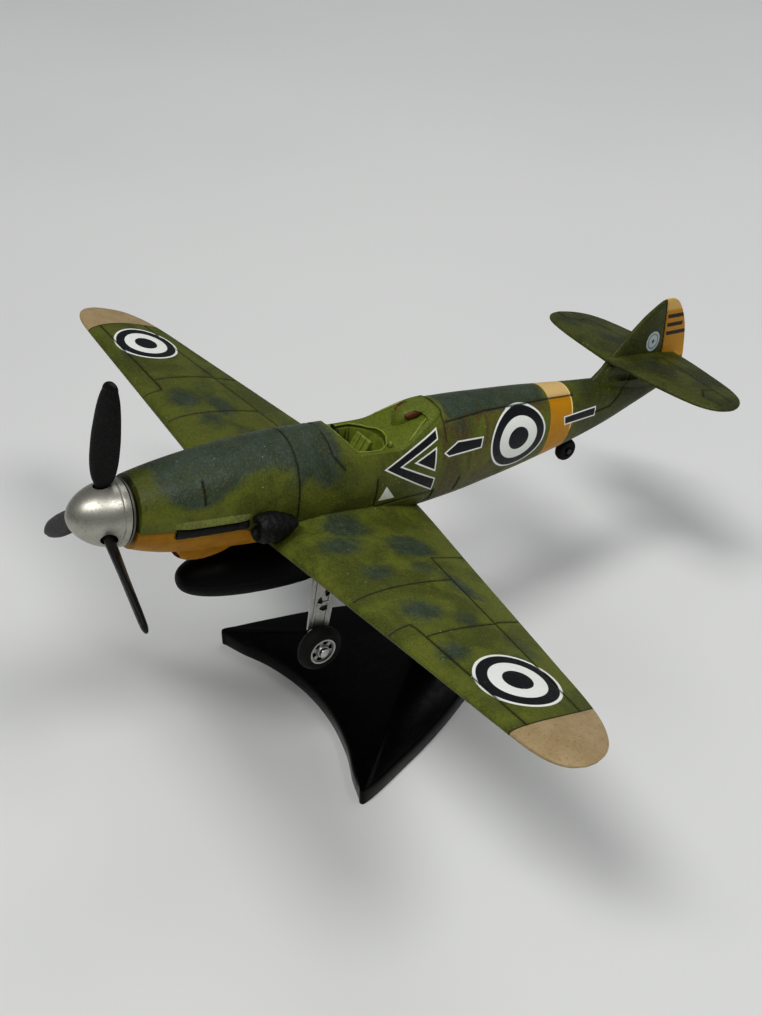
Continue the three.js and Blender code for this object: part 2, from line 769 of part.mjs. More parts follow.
// ---------------------------------------------------------------- spinner, propeller, shaft
// These are modelled in the thrust group's frame.
const BLADE_ROOT_Y = -4.0;
const BLADE_ANGLES = [0, 120, 240].map((angle) => angle - 5.5); // degrees
const SPINNER = { radius: 4.04, front: -7.95, rear: -1.7 };
const BORE_RADIUS = SHAFT_RADIUS + 0.03;

function spinner() {
  const { radius, front, rear } = SPINNER;
  const nose = evenly(0, 1, 8).map((t) => [
    t === 0 ? 0 : radius * Math.pow(1 - Math.pow(1 - t, 2.05), 0.56),
    front + (rear - front) * t,
  ]);
  const cavity = [
    [0, -5.6],
    [2.35, -5.6],
    [2.95, -4.6],
    [2.95, 0],
    [0, 0],
  ];
  const slotRadius = 0.95;
  const slotZ = [0, 5.2];
  const bladeSlot = join(
    barZ(0, BLADE_ROOT_Y, slotZ, slotRadius, 16),
    box(span(0, slotRadius), [BLADE_ROOT_Y, 0], slotZ),
  );
  return cut(
    turned([...nose, [0, rear]], 26),
    turned(cavity, 24),
    ...BLADE_ANGLES.map((angle) => bladeSlot.rotate([0, angle, 0])),
  );
}
const spinnerBackplate = () =>
  tube(SHAFT_RADIUS + 0.06, SPINNER.radius - 0.04, [-1.55, -1.25], 30);
function blade() {
  return skin(
    "z",
    10,
    BLADE,
    ([radius, chord, thickness, pitch], angle) => {
      const along = (chord / 2) * Math.sin(angle);
      const across = (thickness / 2) * Math.cos(angle);
      const c = Math.cos(pitch * DEG);
      const s = Math.sin(pitch * DEG);
      return [along * c - across * s, along * s + across * c, radius];
    },
    ([radius]) => [0, 0, radius],
  ).translate([0, BLADE_ROOT_Y, 0]);
}
function propeller() {
  const hubProfile = [
    [BORE_RADIUS, BLADE_ROOT_Y - 1.0],
    [2.0, BLADE_ROOT_Y - 1.0],
    [2.2, BLADE_ROOT_Y - 0.8],
    [2.2, BLADE_ROOT_Y + 1.0],
    [2.0, BLADE_ROOT_Y + 1.2],
    [BORE_RADIUS, BLADE_ROOT_Y + 1.2],
  ];
  const blades = BLADE_ANGLES.map((angle) => blade().rotate([0, angle, 0]));
  return cut(join(turned(closed(hubProfile), 24), ...blades), rod(BORE_RADIUS, [-7, 0]));
}
const propShaft = () => rod(SHAFT_RADIUS, [-5.1, 5.6]);
const shaftBushing = () => tube(SHAFT_RADIUS + 0.08, BUSHING_RADIUS, [0.35, 6.0], 24);

// ---------------------------------------------------------------- wheels
// A ring about an x axle, the same on both faces.
// The profile gives radius and depth in from the face, from the bore outwards.
function wheelRing(profile, halfWidth, segments, centre) {
  const half = profile.map(([radius, depth]) => [radius, depth - halfWidth]);
  const otherHalf = half
    .filter(([, y]) => y !== 0)
    .map(([radius, y]) => [radius, -y])
    .reverse();
  return turned(closed([...half, ...otherHalf]), segments)
    .rotate([0, 0, 90])
    .translate(centre);
}

// ---------------------------------------------------------------- main landing gear, port side
const WHEEL = { radius: 3.1, halfWidth: 1.05, hubRadius: 1.85, centre: [12.6, 29.1, -16.6] };
const [WHEEL_X, WHEEL_Y, WHEEL_Z] = WHEEL.centre;
const AXLE_RADIUS = 0.4;
const BOSS_HALF_WIDTH = 0.5;
const LEG_X = WHEEL_X - WHEEL.halfWidth - 0.35 - BOSS_HALF_WIDTH;
const LEG_TOP = [8.2, 31.0, -5.2];
const LEG_FOOT = [LEG_X, WHEEL_Y, WHEEL_Z - 0.3];
const LEG_RADIUS = 0.62;
const COLLAR_RADIUS = 0.72;

const onLeg = (t) => LEG_TOP.map((value, i) => value + (LEG_FOOT[i] - value) * t);
// The wing with a little clearance, less the recess on one side.
const wingOverGear = (side) => wingSkin(0.12).subtract(toSide(side, wheelWell()));

function gearLeg() {
  const linkKnee = shifted(onLeg(0.75), [0, 1.3, 0]);
  return cut(
    join(
      bar(onLeg(0), onLeg(0.55), LEG_RADIUS, 12),
      bar(onLeg(0.5), onLeg(1.02), 0.42, 12),
      bar(onLeg(0.5), onLeg(0.56), COLLAR_RADIUS, 12),
      // torque link behind the leg
      bar(onLeg(0.55), linkKnee, 0.2, 6),
      bar(linkKnee, onLeg(0.96), 0.2, 6),
      barX([LEG_X - 0.55, LEG_X + BOSS_HALF_WIDTH], WHEEL_Y, WHEEL_Z, 0.78, 20),
    ),
    barX(span(LEG_X, 1.2), WHEEL_Y, WHEEL_Z, AXLE_RADIUS + 0.04, 20),
  );
}
// A tapering plate on the outboard side of the leg, with two pegs towards it.
function gearDoor() {
  const gap = 0.05;
  const plate = reshaped(unitBox(1, 1, 4), (unitX, unitY, unitZ) => {
    const t = 0.5 - unitZ;
    const width = 3.5 * (1 - 0.22 * t);
    return shifted(onLeg(0.13 + 0.55 * t), [0.98 + 0.34 * unitX, width * unitY - 0.1, 0]);
  });
  const peg = (t, inner) =>
    bar(shifted(onLeg(t), [inner, 0, 0]), shifted(onLeg(t), [1.0, 0, 0]), 0.3, 10);
  return cut(
    join(plate, peg(0.3, 0.66), peg(0.5, 0.8)),
    bar(onLeg(-0.1), onLeg(0.56), LEG_RADIUS + gap, 16),
    bar(onLeg(0.49), onLeg(0.57), COLLAR_RADIUS + gap, 16),
  );
}
function axle() {
  const wheelFace = WHEEL_X + WHEEL.halfWidth;
  return join(
    barX([LEG_X - 0.5, wheelFace + 0.1], WHEEL_Y, WHEEL_Z, AXLE_RADIUS, 20),
    barX([wheelFace + 0.08, wheelFace + 0.3], WHEEL_Y, WHEEL_Z, 0.62, 20),
  );
}
// Wheel hub with a ring of six small holes.
function wheelHub() {
  const profile = [
    [AXLE_RADIUS + 0.1, 0],
    [0.8, 0],
    [0.9, 0.35],
    [1.5, 0.35],
    [1.55, 0.1],
    [WHEEL.hubRadius, 0.1],
  ];
  const holes = Array.from({ length: 6 }, (_, i) => {
    const angle = (i * Math.PI) / 3;
    const y = WHEEL_Y + 1.18 * Math.cos(angle);
    const z = WHEEL_Z + 1.18 * Math.sin(angle);
    return barX(span(WHEEL_X, 2), y, z, 0.26, 8);
  });
  return cut(wheelRing(profile, WHEEL.halfWidth, 20, WHEEL.centre), ...holes);
}
function wheelTyre() {
  const profile = [
    [WHEEL.hubRadius + 0.03, 0.12],
    [2.1, 0],
    [2.5, 0.05],
    [2.75, 0.35],
    [WHEEL.radius, WHEEL.halfWidth - 0.2],
  ];
  return wheelRing(profile, WHEEL.halfWidth, 26, WHEEL.centre);
}

// ---------------------------------------------------------------- tail wheel
const TAIL_WHEEL = { radius: 1.6, halfWidth: 0.65, centre: [0, 78.9, -2.6] };
const [, TAIL_WHEEL_Y, TAIL_WHEEL_Z] = TAIL_WHEEL.centre;
const TAIL_ARM_X = -TAIL_WHEEL.halfWidth - 0.42; // the arm is on the starboard side

function tailWheelStrut() {
  const knee = [0, 77.9, -0.65];
  const shoulder = [TAIL_ARM_X, 78.2, -1.0];
  const gap = 0.12;
  const wheelHalfSpace = TAIL_WHEEL.halfWidth + gap;
  const alongAxle = (xs, radius, segments) =>
    barX(xs, TAIL_WHEEL_Y, TAIL_WHEEL_Z, radius, segments);
  return cut(
    join(
      bar([0, 77.4, 1.3], knee, 0.5, 14, 0.45),
      bar(knee, shoulder, 0.34, 12),
      bar(shoulder, [TAIL_ARM_X, TAIL_WHEEL_Y, TAIL_WHEEL_Z], 0.3, 12),
      alongAxle(span(TAIL_ARM_X, 0.25), 0.48, 16),
    ),
    alongAxle(span(TAIL_ARM_X, 1), 0.3, 16),
    alongAxle(span(0, wheelHalfSpace), TAIL_WHEEL.radius + gap, 32),
    fuselageSkin([70, 88], 32, 6, 0.1),
  );
}
function tailWheelAxle() {
  const face = TAIL_WHEEL.halfWidth;
  return join(
    barX([TAIL_ARM_X - 0.3, face + 0.1], TAIL_WHEEL_Y, TAIL_WHEEL_Z, 0.26, 16),
    barX([face + 0.08, face + 0.25], TAIL_WHEEL_Y, TAIL_WHEEL_Z, 0.42, 16),
  );
}
function tailWheel() {
  const profile = [
    [0.33, 0.15],
    [0.75, 0.15],
    [0.85, 0],
    [1.25, 0.02],
    [1.5, 0.25],
    [TAIL_WHEEL.radius, TAIL_WHEEL.halfWidth],
  ];
  return wheelRing(profile, TAIL_WHEEL.halfWidth, 20, TAIL_WHEEL.centre);
}

// ---------------------------------------------------------------- stand
const BASE_THICKNESS = 2.6;
const BASE_BEVEL = { height: 0.85, inset: 0.6 };
const STEM_FOOT_Z = BASE_THICKNESS + 0.1;
const STEM_THICKNESS = 3.2;
const STEM_BEVEL = 0.4;

// Front edge concave between two swept tips, narrow rounded rear.
function standBase() {
  const otherHalf = BASE_HALF_PLAN.slice(1, -1).reverse().map(([x, y]) => [-x, y]);
  const shape = new THREE.Shape(vectors([...BASE_HALF_PLAN, ...otherHalf]));
  const plate = new THREE.ExtrudeGeometry(shape, {
    depth: BASE_THICKNESS - 2 * BASE_BEVEL.height,
    bevelEnabled: true,
    bevelThickness: BASE_BEVEL.height,
    bevelSize: BASE_BEVEL.inset,
    bevelOffset: -BASE_BEVEL.inset,
    bevelSegments: 3,
    curveSegments: 1,
  });
  plate.translate(0, 0, BASE_BEVEL.height);
  // flat underside: the lower bevel is filled down to the plate's full outline
  const foot = new THREE.ExtrudeGeometry(shape, { depth: 1.2, bevelEnabled: false });
  return cut(
    join(solid(plate), solid(foot)),
    box(span(0, 1.3), span(STEM_FOOT_Y, 2.7), [1.3, 4]), // tenon pocket
    barZ(0, STEM_FOOT_Y, [-1, 2], 0.75, 16),
    barZ(0, STEM_FOOT_Y, [-1, 0.8], 1.9, 28), // screw head recess
  );
}

// A point of the aeroplane's y-z plane in the stand's frame.
const onStand = (y, z) => [
  y * Math.cos(PITCH) + z * Math.sin(PITCH) + PLANE_Y,
  -y * Math.sin(PITCH) + z * Math.cos(PITCH) + PLANE_Z,
];
// A curved blade in the plane of symmetry, with a tongue into the belly and a tenon in the base.
function standStem() {
  const seatZ = BELLY_Z_AT_STEM - 0.25;
  const frontY = STEM_TOP_Y - 2.7;
  const rearY = STEM_TOP_Y + 2.7;
  const footFrontY = STEM_FOOT_Y - 5.0;
  const pullZ = STEM_FOOT_Z + 9; // height of the lower curve handles
  const outline = new THREE.Shape();
  outline.moveTo(footFrontY, STEM_FOOT_Z);
  outline.lineTo(STEM_FOOT_Y + 5.0, STEM_FOOT_Z);
  outline.bezierCurveTo(
    ...[STEM_FOOT_Y + 2.2, pullZ],
    ...onStand(rearY, seatZ - 6),
    ...onStand(rearY, seatZ),
  );
  outline.lineTo(...onStand(frontY, seatZ));
  outline.bezierCurveTo(
    ...onStand(frontY, seatZ - 6),
    ...[STEM_FOOT_Y - 3.4, pullZ],
    ...[footFrontY, STEM_FOOT_Z],
  );
  const stemBlade = extrudedYZ(outline, STEM_THICKNESS - 2 * STEM_BEVEL, {
    bevelEnabled: true,
    bevelThickness: STEM_BEVEL,
    bevelSize: STEM_BEVEL,
    bevelOffset: -STEM_BEVEL,
    bevelSegments: 2,
    curveSegments: 14,
  });
  const tipHalfY = TONGUE.halfY - 0.2;
  const tongue = plateYZ(
    [
      onStand(STEM_TOP_Y - TONGUE.halfY, seatZ - 1.5),
      onStand(STEM_TOP_Y + TONGUE.halfY, seatZ - 1.5),
      onStand(STEM_TOP_Y + tipHalfY, seatZ + TONGUE.depth),
      onStand(STEM_TOP_Y - tipHalfY, seatZ + TONGUE.depth),
    ],
    TONGUE.halfX,
  );
  const tenon = box(span(0, 1.1), span(STEM_FOOT_Y, 2.5), [1.45, STEM_FOOT_Z + 1.5]);
  return cut(
    join(stemBlade, tongue, tenon),
    barZ(0, STEM_FOOT_Y, [0, STEM_FOOT_Z + 3], 0.6, 16),
  );
}
const stemScrew = () =>
  screw({
    y: STEM_FOOT_Y,
    bottom: 0.12,
    headTop: 0.72,
    headRadius: 1.6,
    headSegments: 28,
    shankTop: STEM_FOOT_Z + 2.4,
    slot: { top: 0.35, halfLength: 1.1, halfWidth: 0.2 },
  });

// ---------------------------------------------------------------- assembly
addPiece(aeroplane, "fuselage_shell", fuselageShell(), FINISH.olive);
addPiece(aeroplane, "chin_cowl", chinCowl(), FINISH.yellow);
for (const side of SIDES) {
  addPiece(aeroplane, `exhaust_${side}`, toSide(side, exhaust()), FINISH.exhaust);
}
addPiece(aeroplane, "belly_pan", bellyPan(), FINISH.bellyPan);
addPiece(aeroplane, "belly_screw", bellyScrew(), FINISH.brightSilver);
addPiece(aeroplane, "wing", wing(), FINISH.olive);
for (const side of SIDES) {
  addPiece(aeroplane, `radiator_${side}`, toSide(side, radiator()), FINISH.radiator);
}
addPiece(aeroplane, "tailplane", tailplaneSkin(TAIL_STATIONS), FINISH.olive);
addPiece(aeroplane, "supercharger_intake", superchargerIntake(), FINISH.intake);
addPiece(aeroplane, "drop_tank", dropTank(), FINISH.tank);
addPiece(aeroplane, "tank_rack", tankRack(), FINISH.rack);

addPiece(aeroplane, "cockpit_tub", cockpitTub(), FINISH.cockpit);
addPiece(aeroplane, "pilot_seat", pilotSeat(), FINISH.seat);
addPiece(aeroplane, "instrument_panel", instrumentPanel(), FINISH.panel);
addPiece(aeroplane, "gunsight", gunsight(), FINISH.gunsight);
addPiece(aeroplane, "headrest", headrest(), FINISH.leather);

addPiece(thrust, "spinner", spinner(), FINISH.brightSilver);
addPiece(thrust, "spinner_backplate", spinnerBackplate(), FINISH.backplate);
addPiece(thrust, "propeller", propeller(), FINISH.propeller);
addPiece(thrust, "prop_shaft", propShaft(), FINISH.shaft);
addPiece(thrust, "shaft_bushing", shaftBushing(), FINISH.brass);

for (const side of SIDES) {
  const overhead = wingOverGear(side);
  const leg = cut(toSide(side, gearLeg()), overhead);
  const door = cut(toSide(side, gearDoor()), overhead);
  addPiece(aeroplane, `gear_leg_${side}`, leg, FINISH.gear);
  addPiece(aeroplane, `gear_door_${side}`, door, FINISH.gearDoor);
  addPiece(aeroplane, `axle_${side}`, toSide(side, axle()), FINISH.axle);
  addPiece(aeroplane, `wheel_hub_${side}`, toSide(side, wheelHub()), FINISH.gear);
  addPiece(aeroplane, `wheel_tyre_${side}`, toSide(side, wheelTyre()), FINISH.tyre);
}

addPiece(aeroplane, "tail_wheel_strut", tailWheelStrut(), FINISH.tailStrut);
addPiece(aeroplane, "tail_wheel_axle", tailWheelAxle(), FINISH.tailAxle);
addPiece(aeroplane, "tail_wheel", tailWheel(), FINISH.tailWheel);

addPiece(root, "stand_base", standBase(), FINISH.base);
addPiece(root, "stand_stem", standStem(), FINISH.stem);
addPiece(root, "stem_screw", stemScrew(), FINISH.brightSilver);

export default root;
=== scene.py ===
"""A model propeller aeroplane, wheels down, standing nose-up on a two-part black stand.

The aeroplane is drawn in millimetres in its own frame: origin at the spinner's tip, +X port,
+Y aft, +Z up. The propeller unit has a frame of its own, tilted about a pivot behind the tip.
The stand is drawn in millimetres in the scene's frame, with the floor at z = 0.
"""

import math
import bmesh
import bpy
import numpy as np
from mathutils import Matrix, Vector


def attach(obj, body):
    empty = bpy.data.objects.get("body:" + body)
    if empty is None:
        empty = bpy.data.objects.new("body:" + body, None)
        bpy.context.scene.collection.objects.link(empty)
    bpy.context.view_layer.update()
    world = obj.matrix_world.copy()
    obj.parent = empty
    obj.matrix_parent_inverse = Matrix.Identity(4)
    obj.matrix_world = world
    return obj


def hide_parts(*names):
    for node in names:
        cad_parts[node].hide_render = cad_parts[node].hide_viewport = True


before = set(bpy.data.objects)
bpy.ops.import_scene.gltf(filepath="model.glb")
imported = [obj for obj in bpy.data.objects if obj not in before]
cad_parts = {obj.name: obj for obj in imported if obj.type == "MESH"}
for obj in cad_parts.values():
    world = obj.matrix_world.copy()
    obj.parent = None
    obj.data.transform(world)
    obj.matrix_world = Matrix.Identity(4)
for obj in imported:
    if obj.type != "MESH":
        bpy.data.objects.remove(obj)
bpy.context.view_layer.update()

# ------------------------------------------------------------------ frames
PITCH = math.radians(11.5)  # nose-up attitude on the stand
ORIGIN = Vector((0.0, -44.87, 46.05))  # the spinner's tip in the scene
TILT = math.radians(4.0)  # thrust line against the fuselage
PIVOT = Vector((0.0, 8.0, 0.4))
SCENE_MM = Matrix.Scale(0.001, 4)
PLANE = SCENE_MM @ Matrix.Translation(ORIGIN) @ Matrix.Rotation(-PITCH, 4, "X")
THRUST_IN_PLANE = Matrix.Translation(PIVOT) @ Matrix.Rotation(-TILT, 4, "X")
THRUST = PLANE @ THRUST_IN_PLANE
SIDES = (("port", 1), ("starboard", -1))

# ------------------------------------------------------------------ shape tables
# y, half width, z of the widest line, top z, bottom z, roundness exponent
FUSELAGE = np.array([
    [6.9, 4.25, 0.45, 4.75, -3.95, 2.0], [9.0, 4.65, 0.35, 5.25, -4.65, 2.05],
    [12.0, 5.1, 0.3, 5.85, -5.35, 2.1], [15.0, 5.4, 0.2, 6.4, -5.7, 2.12],
    [18.0, 5.65, 0.1, 6.85, -5.9, 2.15], [21.0, 5.85, 0.0, 7.2, -6.1, 2.15],
    [24.0, 5.95, 0.0, 7.5, -6.3, 2.15], [28.0, 5.95, 0.0, 7.75, -6.5, 2.12],
    [32.0, 5.9, 0.1, 7.8, -6.6, 2.08], [36.0, 5.85, 0.2, 7.85, -6.6, 2.05],
    [40.0, 5.8, 0.5, 7.95, -6.55, 2.05], [44.0, 5.7, 0.85, 8.4, -6.4, 2.05],
    [48.0, 5.6, 1.2, 9.1, -6.0, 2.05], [52.0, 5.4, 1.6, 9.35, -5.55, 2.08],
    [56.0, 5.2, 2.0, 9.35, -5.0, 2.1], [60.0, 4.9, 2.4, 9.3, -4.3, 2.1],
    [66.0, 4.45, 3.0, 9.2, -3.15, 2.1], [72.0, 3.9, 3.6, 8.95, -1.8, 2.1],
    [78.0, 3.25, 4.2, 8.7, -0.35, 2.1], [84.0, 2.55, 4.9, 8.6, 1.5, 2.1],
    [90.0, 1.8, 5.8, 8.8, 3.9, 2.0], [95.0, 1.15, 6.9, 9.2, 5.9, 2.0],
    [98.2, 0.7, 7.7, 9.6, 7.0, 2.0]])
# distance from the centre plane, leading edge y, trailing edge y
WING = np.array([
    [0, 23.75, 50.4], [6, 23.8, 48.8], [15, 23.95, 46.15], [22.7, 24.05, 43.9],
    [33, 24.2, 40.95], [42, 24.3, 38.35], [49, 24.4, 36.3], [52, 24.5, 35.1],
    [54, 24.8, 33.9], [55.5, 25.4, 32.6], [56.5, 26.3, 31.1], [57.1, 27.7, 29.3]])
TAIL = np.array([
    [0, 82.6, 97.0], [3, 82.9, 96.8], [9, 83.6, 95.9], [13, 84.3, 95.1],
    [15.5, 85.0, 94.1], [17.2, 86.0, 92.7], [18.2, 87.3, 91.1], [18.6, 88.7, 89.8]])
# z, leading edge y, trailing edge y
FIN = np.array([
    [7.2, 79.5, 98.7], [8.8, 80.6, 99.3], [10.4, 82.1, 99.5], [13.0, 84.1, 98.9],
    [15.9, 86.7, 97.9], [17.9, 88.6, 96.8], [19.2, 90.2, 95.8], [20.1, 91.5, 94.8],
    [20.45, 92.4, 94.0]])
# radius, chord, thickness, pitch in degrees
BLADE = np.array([
    [1.2, 1.3, 1.2, 46], [3.4, 1.6, 1.2, 43], [4.4, 2.7, 1.15, 40], [5.4, 3.3, 1.1, 38],
    [7.0, 3.75, 1.05, 35], [9.0, 3.9, 1.0, 32], [11.5, 3.6, 0.98, 30], [13.6, 3.0, 0.95, 29],
    [15.0, 2.15, 0.85, 28], [15.7, 1.25, 0.6, 28], [16.0, 0.5, 0.3, 28]])
SILL = 5.25
# y, crown z of the deck behind the cockpit, z at which the fuselage is cut away under it
DECK = np.array([
    [40.6, 4.7, SILL], [42.2, 5.2, SILL], [43.4, 5.7, 5.35], [45.0, 6.6, 5.95],
    [47.0, 7.85, 6.85], [49.0, 8.86, 7.8], [50.35, 9.24, 8.4]])
# the cockpit opening seen from above: x, y
OPENING = np.array([
    (0, 34.5), (1.5, 35.0), (3.35, 36.75), (3.8, 38.4), (3.85, 40.5), (2.8, 42.0),
    (1.2, 43.0), (0, 43.2), (-1.2, 43.0), (-2.8, 42.0), (-3.85, 40.5), (-3.8, 38.4),
    (-3.35, 36.75), (-1.5, 35.0)])
# the belly insert's upper edge: y, z
SEAM = [(24.4, -5.2), (44, -4.5), (50, -3.3), (56, -2.2), (62, -0.9), (70, 0.6), (76.5, 2.0)]

# the windscreen's slope, where the canopy is cut off
SCREEN_Y, SCREEN_Z, SCREEN_END_Y, SCREEN_SLOPE = 33.95, 8.0, 36.9, 0.932
WING_Z, DIHEDRAL, INCIDENCE, WING_THICKNESS = -4.34, 0.0954, 0.054, 0.118
WING_HALF_SPAN = 57.1
SLAT_SHARE = 0.167  # engraved line near the leading edge, as a share of the chord
TAIL_Z, TAIL_THICKNESS, TAIL_EDGE = 11.5, 0.085, 0.07
STEM_Y = 47.6  # centre of the stand's slot
BELLY_Z = -6.1
SLOT_HALF_WIDTH, SLOT_HALF_LENGTH = 1.15, 1.9
BELLY_SCREW_Y = 58
FIT = 0.05

# ------------------------------------------------------------------ engraved lines
# on the fuselage's flanks: y, z
SIDE_LINES = [
    [(15.0, 4.9), (15.0, 2.5)],
    [(39.3, 2.0), (39.35, -2.1), (43.5, -1.9), (49.4, -1.6)],
    [(49.4, -1.4), (49.5, -3.6)],
    [(53.6, -0.2), (53.6, -2.6)],
    [(50.6, 7.6), (57.5, 8.1), (69.9, 8.05), (75.0, 7.9)],
    [(79.9, 5.0), (83.0, 5.4), (85.2, 7.0), (87.5, 9.6), (88.6, 10.9)],
    [(32.6, 7.6), (32.9, 5.6), (34.3, 4.0)],
]
FIN_LINES = [[(92.15, 20.0), (93.7, 11.7)]]
# on both halves of the wing and tailplane: distance from the centre plane, y
WING_LINES = [
    [(23.0, 24.5), (23.0, 38.9)],
    [(30.2, 24.3), (30.2, 26.9), (31.2, 27.05)],
    [(33.0, 27.1), (33.2, 37.0)],
    [(33.0, 37.0), (33.0, 40.8)],
    [(17.6, 39.9), (17.6, 45.2)],
    [(31.2, 27.05), (33.0, 27.0), (42.0, 26.65), (50.0, 26.35)],
    [(17.6, 39.91), (50.1, 33.77)],
]
TAIL_LINES = [
    [(2.2, 92.2), (13.4, 91.3)],
    [(17.3, 88.3), (14.6, 87.6), (12.9, 89.3), (13.4, 91.3)],
    [(13.4, 91.3), (16.9, 91.0)],
]


# ------------------------------------------------------------------ curves
def table_at(table, values):
    """Monotone cubic through a table's rows: one row of results per value."""
    values = np.clip(np.atleast_1d(np.asarray(values, float)), table[0, 0], table[-1, 0])
    x, y = table[:, 0], table[:, 1:]
    step = np.diff(x)
    slope = np.diff(y, axis=0) / step[:, None]
    tangent = np.zeros_like(y)
    tangent[0], tangent[-1] = slope[0], slope[-1]
    a, b = slope[:-1], slope[1:]
    with np.errstate(divide="ignore", invalid="ignore"):
        tangent[1:-1] = np.where(a * b <= 0, 0, 2 * a * b / (a + b))
    i = np.clip(np.searchsorted(x, values, side="right") - 1, 0, len(step) - 1)
    t = ((values - x[i]) / step[i])[:, None]
    span = step[i][:, None]
    return ((2 * t**3 - 3 * t**2 + 1) * y[i] + (t**3 - 2 * t**2 + t) * span * tangent[i]
            + (-2 * t**3 + 3 * t**2) * y[i + 1] + (t**3 - t**2) * span * tangent[i + 1])


def signed_power(value, exponent):
    return np.sign(value) * np.abs(value) ** exponent


def angles(count, offset=0.0):
    """Evenly spaced angles round a full turn."""
    return (np.arange(count) + offset) * 2 * np.pi / count


def aerofoil(share):
    """Half thickness of a four-digit aerofoil section at a share of the chord."""
    return 5 * (0.2969 * np.sqrt(share) - 0.126 * share - 0.3516 * share**2
                + 0.2843 * share**3 - 0.1015 * share**4)


def smooth(start, end, value):
    t = np.clip((value - start) / (end - start), 0, 1)
    return t * t * (3 - 2 * t)


def spline(points, steps):
    """Catmull-Rom curve through the points."""
    p = np.array(points, float)
    out = []
    for i in range(len(p) - 1):
        a, b = p[i], p[i + 1]
        before = p[i - 1] if i else a + (a - b)
        after = p[i + 2] if i + 2 < len(p) else b + (b - a)
        for t in np.linspace(0, 1, steps, endpoint=False):
            out.append(0.5 * ((2 * a) + (b - before) * t
                              + (2 * before - 5 * a + 4 * b - after) * t * t
                              + (-before + 3 * a - 3 * b + after) * t**3))
    out.append(p[-1])
    return np.array(out)


def bezier(p0, p1, p2, p3, count=40):
    t = np.linspace(0, 1, count)[:, None]
    p0, p1, p2, p3 = (np.array(p, float) for p in (p0, p1, p2, p3))
    return ((1 - t) ** 3 * p0 + 3 * t * (1 - t) ** 2 * p1
            + 3 * t * t * (1 - t) * p2 + t**3 * p3)


def round_profile(points, radius, steps=3, closed=False):
    """A profile with its corners rounded."""
    p = [np.array(q, float) for q in points]
    out = []
    for i, corner in enumerate(p):
        if not closed and i in (0, len(p) - 1):
            out.append(corner)
            continue
        u, v = p[i - 1] - corner, p[(i + 1) % len(p)] - corner
        length_u, length_v = np.linalg.norm(u), np.linalg.norm(v)
        if length_u < 1e-6 or length_v < 1e-6:
            out.append(corner)
            continue
        r = min(radius, 0.45 * length_u, 0.45 * length_v)
        start, end = corner + u / length_u * r, corner + v / length_v * r
        for k in range(steps + 1):
            t = k / steps
            out.append((1 - t) ** 2 * start + 2 * t * (1 - t) * corner + t * t * end)
    return np.array(out)


# ------------------------------------------------------------------ solids
def mesh_object(verts, faces, name="part"):
    """A mesh object whose closed skin faces outwards."""
    verts = np.asarray(verts, float)
    mesh = bpy.data.meshes.new(name)
    mesh.from_pydata(verts.tolist(), [], [list(map(int, f)) for f in faces])
    mesh.update()
    mesh.calc_loop_triangles()
    corners = np.zeros(len(mesh.loop_triangles) * 3, np.int32)
    mesh.loop_triangles.foreach_get("vertices", corners)
    t = verts[corners.reshape(-1, 3)]
    if np.einsum("ij,ij->i", t[:, 0], np.cross(t[:, 1], t[:, 2])).sum() < 0:
        mesh.flip_normals()
        mesh.update()
    piece = bpy.data.objects.new(name, mesh)
    bpy.context.scene.collection.objects.link(piece)
    return piece


def loft(rings, start=None, end=None):
    """Closed skin over rings (count, around, 3), capped by fans to the start and end points."""
    rings = np.asarray(rings, float)
    count, around, _ = rings.shape
    start = rings[0].mean(0) if start is None else np.asarray(start, float)
    end = rings[-1].mean(0) if end is None else np.asarray(end, float)
    verts = np.concatenate([rings.reshape(-1, 3), start[None], end[None]])
    index = np.arange(count * around).reshape(count, around)
    a, b = index[:-1], index[1:]
    faces = np.stack([a, np.roll(a, -1, 1), np.roll(b, -1, 1), b], -1).reshape(-1, 4).tolist()
    tip = count * around
    first, last = index[0], index[-1]
    faces += np.stack([np.full(around, tip), np.roll(first, -1), first], -1).tolist()
    faces += np.stack([np.full(around, tip + 1), last, np.roll(last, -1)], -1).tolist()
    return mesh_object(verts, faces)


def ring_solid(rings):
    """A closed loop of rings: the last ring joins the first."""
    rings = np.asarray(rings, float)
    index = np.arange(rings.shape[0] * rings.shape[1]).reshape(rings.shape[:2])
    b = np.roll(index, -1, 0)
    faces = np.stack([index, np.roll(index, -1, 1), np.roll(b, -1, 1), b], -1)
    return mesh_object(rings.reshape(-1, 3), faces.reshape(-1, 4))


def turned(profile, sides=96, axis="y", centre=(0, 0, 0), radius=0.06, closed=False):
    """A turned piece: profile of (radius, along) pairs. closed means a ring with a bore."""
    profile = round_profile(profile, radius, closed=closed)
    turn = angles(sides)
    r = profile[:, 0][:, None]
    parts = [r * np.cos(turn), r * np.sin(turn)]
    along = "xyz".index(axis)
    parts.insert(along, np.repeat(profile[:, 1][:, None], sides, 1))
    rings = np.stack(parts, -1) + np.array(centre)
    if closed:
        return ring_solid(rings)
    start, end = np.array(centre, float), np.array(centre, float)
    start[along] += profile[0, 1]
    end[along] += profile[-1, 1]
    return loft(rings[1:-1], start, end)


